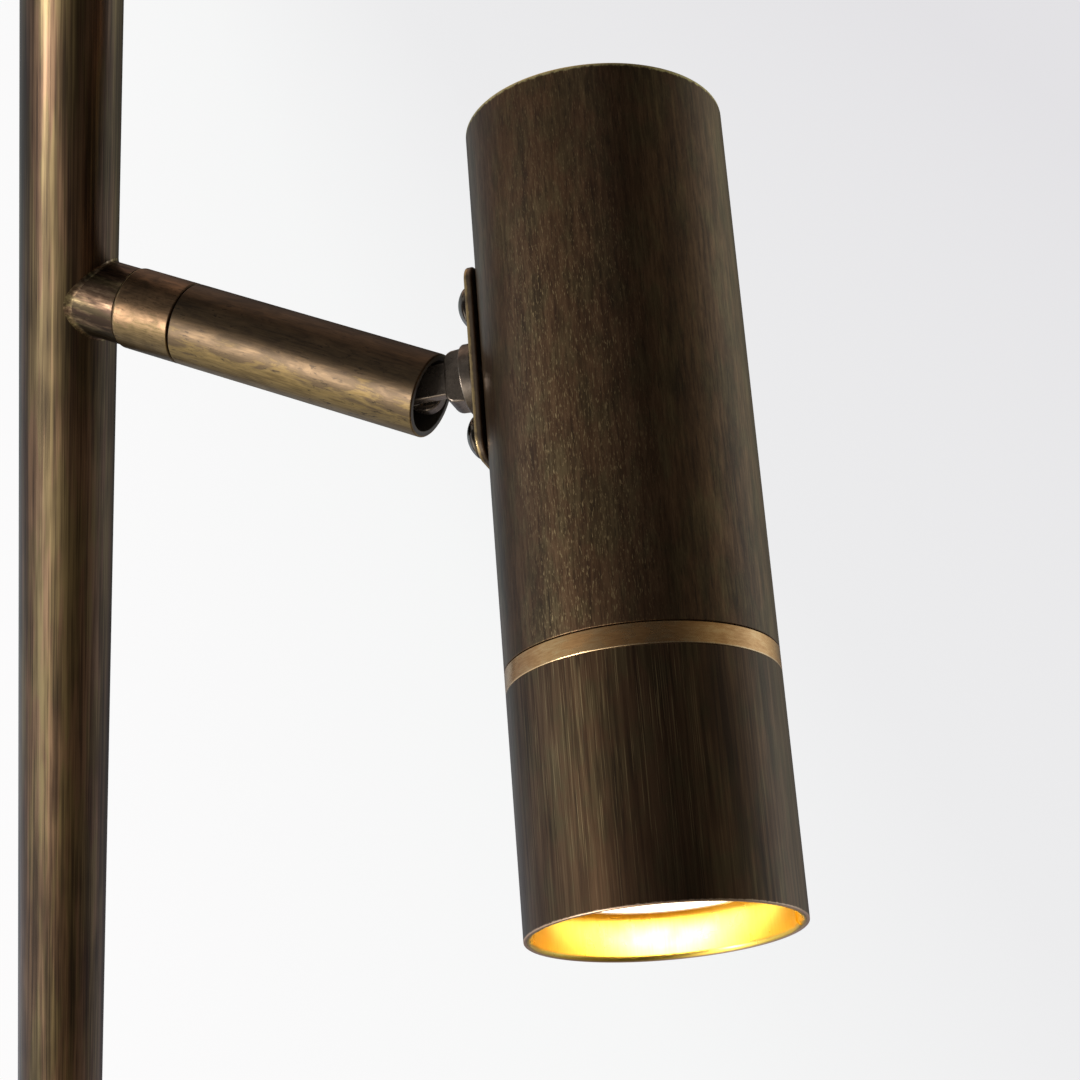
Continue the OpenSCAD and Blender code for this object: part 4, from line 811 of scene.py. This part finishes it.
# The bowl's faint orange emission is a painted glow that stands in for the liner's light on it.
body_finish = paint.surface(paint.ramp(powder, (0.35, (0.66, 0.62, 0.56)), (0.65, (0.74, 0.70, 0.64))),
                            paint.smooth(powder, 0.3, 0.7, 0.5, 0.38), paint.bump(powder, 0.01, 0.4), 0.0,
                            {"Emission Color": (0.75, 0.36, 0.09), "Emission Strength": 0.35})
bowl = turned("lamp_bowl", head_place,
              [(0, -127.5, 0), (13.5, -127.5, 1), (13.5, -145.5, 0.8), (19.5, -159.9, 3), (24, -175.5, 1),
               (lamp_r, -177.5, 0.5), (lamp_r, face, 0.5), (23.5, face, 0.2), (23.5, face + 2, 0),
               (21.9, face + 2, 0), (18, face + 6, 0), (0, face + 6, 0)], 128)
dressed(bowl, "head", "lamp_body", body_finish, "lamp_reflector")

paint = Paint("lamp_lens")
pressed = paint.noise(head_place, 1.2, detail=2.0, roughness=0.5)
glare = paint.mix(paint.smooth(paint.off_axis(head_place) + (pressed - 0.5) * 3, 4, 15), (1.0, 0.90, 0.74),
                  (0.085, 0.068, 0.052))
lens_finish = paint.surface((0.75, 0.72, 0.68), paint.smooth(pressed, 0.3, 0.7, 0.3, 0.2),
                            paint.bump(pressed, 0.05, 0.5), 0.0,
                            {"Emission Color": glare, "Emission Strength": 38.0})
# The glass is rippled in rings 1.9 mm apart and 0.12 mm deep, as a raised cosine of the radius.
glass_r, glass_back, ripple_depth, ripple_pitch = 23.4, face + 1.95, 0.12, 1.9
r = np.linspace(0, glass_r - 0.4, 24)
ripple = face + ripple_depth * (1 - np.cos(r * 2 * np.pi / ripple_pitch)) / 2
profile = np.concatenate([np.stack([r, ripple], 1), [[glass_r, face + 0.4], [glass_r, glass_back], [0, glass_back]]])
dressed(lathe("lamp_front_glass", head_place, profile, 96, closed=False), "head", "lamp_lens", lens_finish,
        "lamp_glass")


def dull(name, dark, light, rough):
    """Rubber, plastic or ceramic: a faintly mottled tone with a fine surface grain and no metal in it."""
    paint = Paint(name)
    grainy = paint.noise(upright, 0.6)
    broad = paint.noise(upright, 12, detail=2.0, roughness=0.5)
    return paint.surface(paint.ramp(grainy * 0.4 + broad * 0.6, (0.36, dark), (0.64, light)),
                         paint.smooth(grainy, 0.3, 0.7, rough + 0.08, rough - 0.05), paint.bump(grainy, 0.02, 0.4),
                         0.0)


ceramic = dull("ceramic", (0.70, 0.67, 0.60), (0.80, 0.77, 0.71), 0.35)
plastic = dull("terminal_plastic", (0.62, 0.60, 0.54), (0.72, 0.70, 0.64), 0.45)
sheath = dull("lead_sheath", (0.018, 0.017, 0.016), (0.035, 0.033, 0.031), 0.5)
sleeving = dull("core_sleeving", (0.50, 0.38, 0.16), (0.62, 0.48, 0.22), 0.5)
nylon = dull("nylon", (0.58, 0.55, 0.48), (0.68, 0.65, 0.57), 0.42)
coat(ceramic, "lamp_holder")
coat(plastic, "terminal_block", "inlet_terminal")
coat(sheath, "pole_lead", "head_lead")
coat(sleeving, "holder_cores")
coat(nylon, "glide_ring", "knuckle_washer")

# ---- Foot ----------------------------------------------------------------------------------
# Turned foot with a hub that the pole stands in, in a soft rubber pad that grips the floor.
# The same bronze finish as the pole, brushed round instead of along.
turned_finish = bronze("turned_bronze", upright, (0.05, 0.034, 0.024), (0.14, 0.092, 0.056), (0.34, 0.24, 0.145),
                       2.2, 0.4, 0.34, 0.4)
rubber = dull("rubber", (0.016, 0.015, 0.015), (0.034, 0.032, 0.031), 0.62)
pad_r, seat_r, flange_r, hub_r, pole_hole = 28, 26.05, 26, 15.5, 12.05


def pad(name, sole, up):
    """Rubber pad from its sole: a floor 4 mm thick and a lip 9 mm high; up is 1 or -1."""
    inside, lip = sole + up * 4, sole + up * 9
    return turned(name, upright, [(0, sole, 0), (pad_r, sole, 1.2), (pad_r, lip, 0.9), (seat_r, lip, 0.4),
                                  (seat_r, inside, 0), (0, inside, 0)], 128)


def footing(name, face, up, hub_r, hub_high, ease, hole_r, hole_floor):
    """Flange 6 mm thick and a hub with a blind hole: heights go up from the face, and up is 1 or -1."""
    flange, top, floor = face + up * 6, face + up * hub_high, face + up * hole_floor
    return turned(name, upright, [(0, face, 0), (flange_r, face, 0.3), (flange_r, flange, 0.8),
                                  (hub_r + 0.01, flange, ease), (hub_r, top, 0.7), (hole_r, top, 0.3),
                                  (hole_r, floor, 0), (0, floor, 0)])


dressed(pad("floor_pad_moulded", 0, 1), "pole", "rubber", rubber, "floor_pad")
dressed(footing("foot_turned", 4, 1, hub_r, 36, 1.2, pole_hole, 6), "pole", "foot_bronze", turned_finish,
        "floor_foot")
coat(rubber, "cord_grommet")

# ---- Collar and clamp screw ----------------------------------------------------------------
# Turned collar over the pole's top, tapped for a knurled brass screw that locks the sliding
# tube, and a nylon bush that guides the tube.
collar_low, collar_top, lip_low, lip_r = 1936, 1968, 1962.3, 9.8
collar = turned("collar_turned", upright,
                [(pole_hole, collar_low, 0.3), (hub_r, collar_low, 0.7), (hub_r, collar_top, 1.0),
                 (lip_r, collar_top, 0.4), (lip_r, lip_low, 0), (pole_hole, lip_low, 0)])
towards_knob = Matrix.Translation((0, 0, 1.948)) @ Matrix.Rotation(math.pi / 2, 4, "X")
drill = rod("collar_drill", towards_knob, 11, 18, 3.05)
dressed(carved(collar, [drill]), "pole", "foot_bronze", turned_finish, "clamp_collar")
coat(nylon, "guide_bush", "plunger_guide")

# Knob: its radius less a scallop depth ((1 + cos 16 a) / 2)^3 that fades out over the faces.
flutes, scallop_depth = 16, 0.9
a = np.linspace(0, 2 * np.pi, flutes * 14, endpoint=False)[:, None]
profile = filleted([(0, 16.5, 0), (9, 16.5, 0.8), (9, 26.5, 1.1), (5.5, 26.5, 0.3), (4.8, 26.1, 0.3), (0, 26.1, 0)],
                   5)
r, z = profile[None, :, 0], profile[None, :, 1]
r = r - scallop_depth * (0.5 + 0.5 * np.cos(flutes * a)) ** 3 * np.clip((r - 7) / 2, 0, 1)
knob = skin("knob", moved(np.stack([r * np.cos(a), r * np.sin(a), z + 0 * a], -1), towards_knob), round_u=True)
shaft = rod("shaft", towards_knob, 9.8, 17, 3, 0.5)
paint = Paint("knob_brass")
scratch = paint.noise(towards_knob, 0.5, detail=4.0, roughness=0.65)
tarnish = paint.noise(towards_knob, 6)
tone = paint.ramp(tarnish * 0.7 + scratch * 0.3, (0.36, (0.30, 0.205, 0.10)), (0.64, (0.58, 0.42, 0.215)))
knob_finish = paint.surface(tone, paint.smooth(tarnish, 0.3, 0.7, 0.50, 0.38), paint.bump(scratch, 0.01, 0.5))
dressed(joined("clamp_screw_fluted", knob, shaft), "clamp_screw", "knob_brass", knob_finish, "clamp_screw")

# ---- Tension spring ------------------------------------------------------------------------
# Compression spring of round wire inside the sliding tube, twelve curls with flat end curls. It
# rides the plunger, standing on the spring seat and reaching up to the piston.


def wound(name, low, high, curls, middle, wire, end_pitch, rings=24, sides=12):
    """Spring between two heights: after t turns the wire's middle is at (m cos 2 pi t, m sin 2 pi t), half a
    wire above low, end_pitch higher after the first and last turn and evenly higher between them."""
    t = np.linspace(0, curls, curls * rings + 1)
    thick = np.r_[0, np.full(len(t), wire / 2 - 0.05), 0][:, None]
    t = np.r_[0, t, curls][:, None]
    rise = high - low - wire
    height = low + wire / 2 + np.interp(t, (0, 1, curls - 1, curls), (0, end_pitch, rise - end_pitch, rise))
    a, side = 2 * np.pi * t, np.linspace(0, 2 * np.pi, sides, endpoint=False)[None]
    r = middle + thick * np.cos(side)
    points = np.stack([r * np.cos(a), r * np.sin(a), height + thick * np.sin(side)], -1)
    return skin(name, moved(points, upright), round_v=True)


spring_foot, piston_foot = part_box("spring_seat")[1][2] / mm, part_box("plunger_piston")[0][2] / mm
spring_wire = plain_metal("spring_wire", (0.26, 0.25, 0.24), 0.33)
spring = dressed(wound("tension_spring_wound", spring_foot, piston_foot, 12, 6.5, 1.8, 2.4), "plunger",
                 "spring_steel", spring_wire, "tension_spring")
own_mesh(spring)

# ---- Ceiling end ---------------------------------------------------------------------------
# Cup and rubber pad that the spring presses against the ceiling, the foot's smaller twin.
dressed(footing("ceiling_cup_turned", 2396, -1, 9, 20, 1.0, 5.05, 2), "plunger", "foot_bronze", turned_finish,
        "ceiling_cup")
dressed(pad("ceiling_pad_moulded", 2400, -1), "plunger", "rubber", rubber, "ceiling_pad")
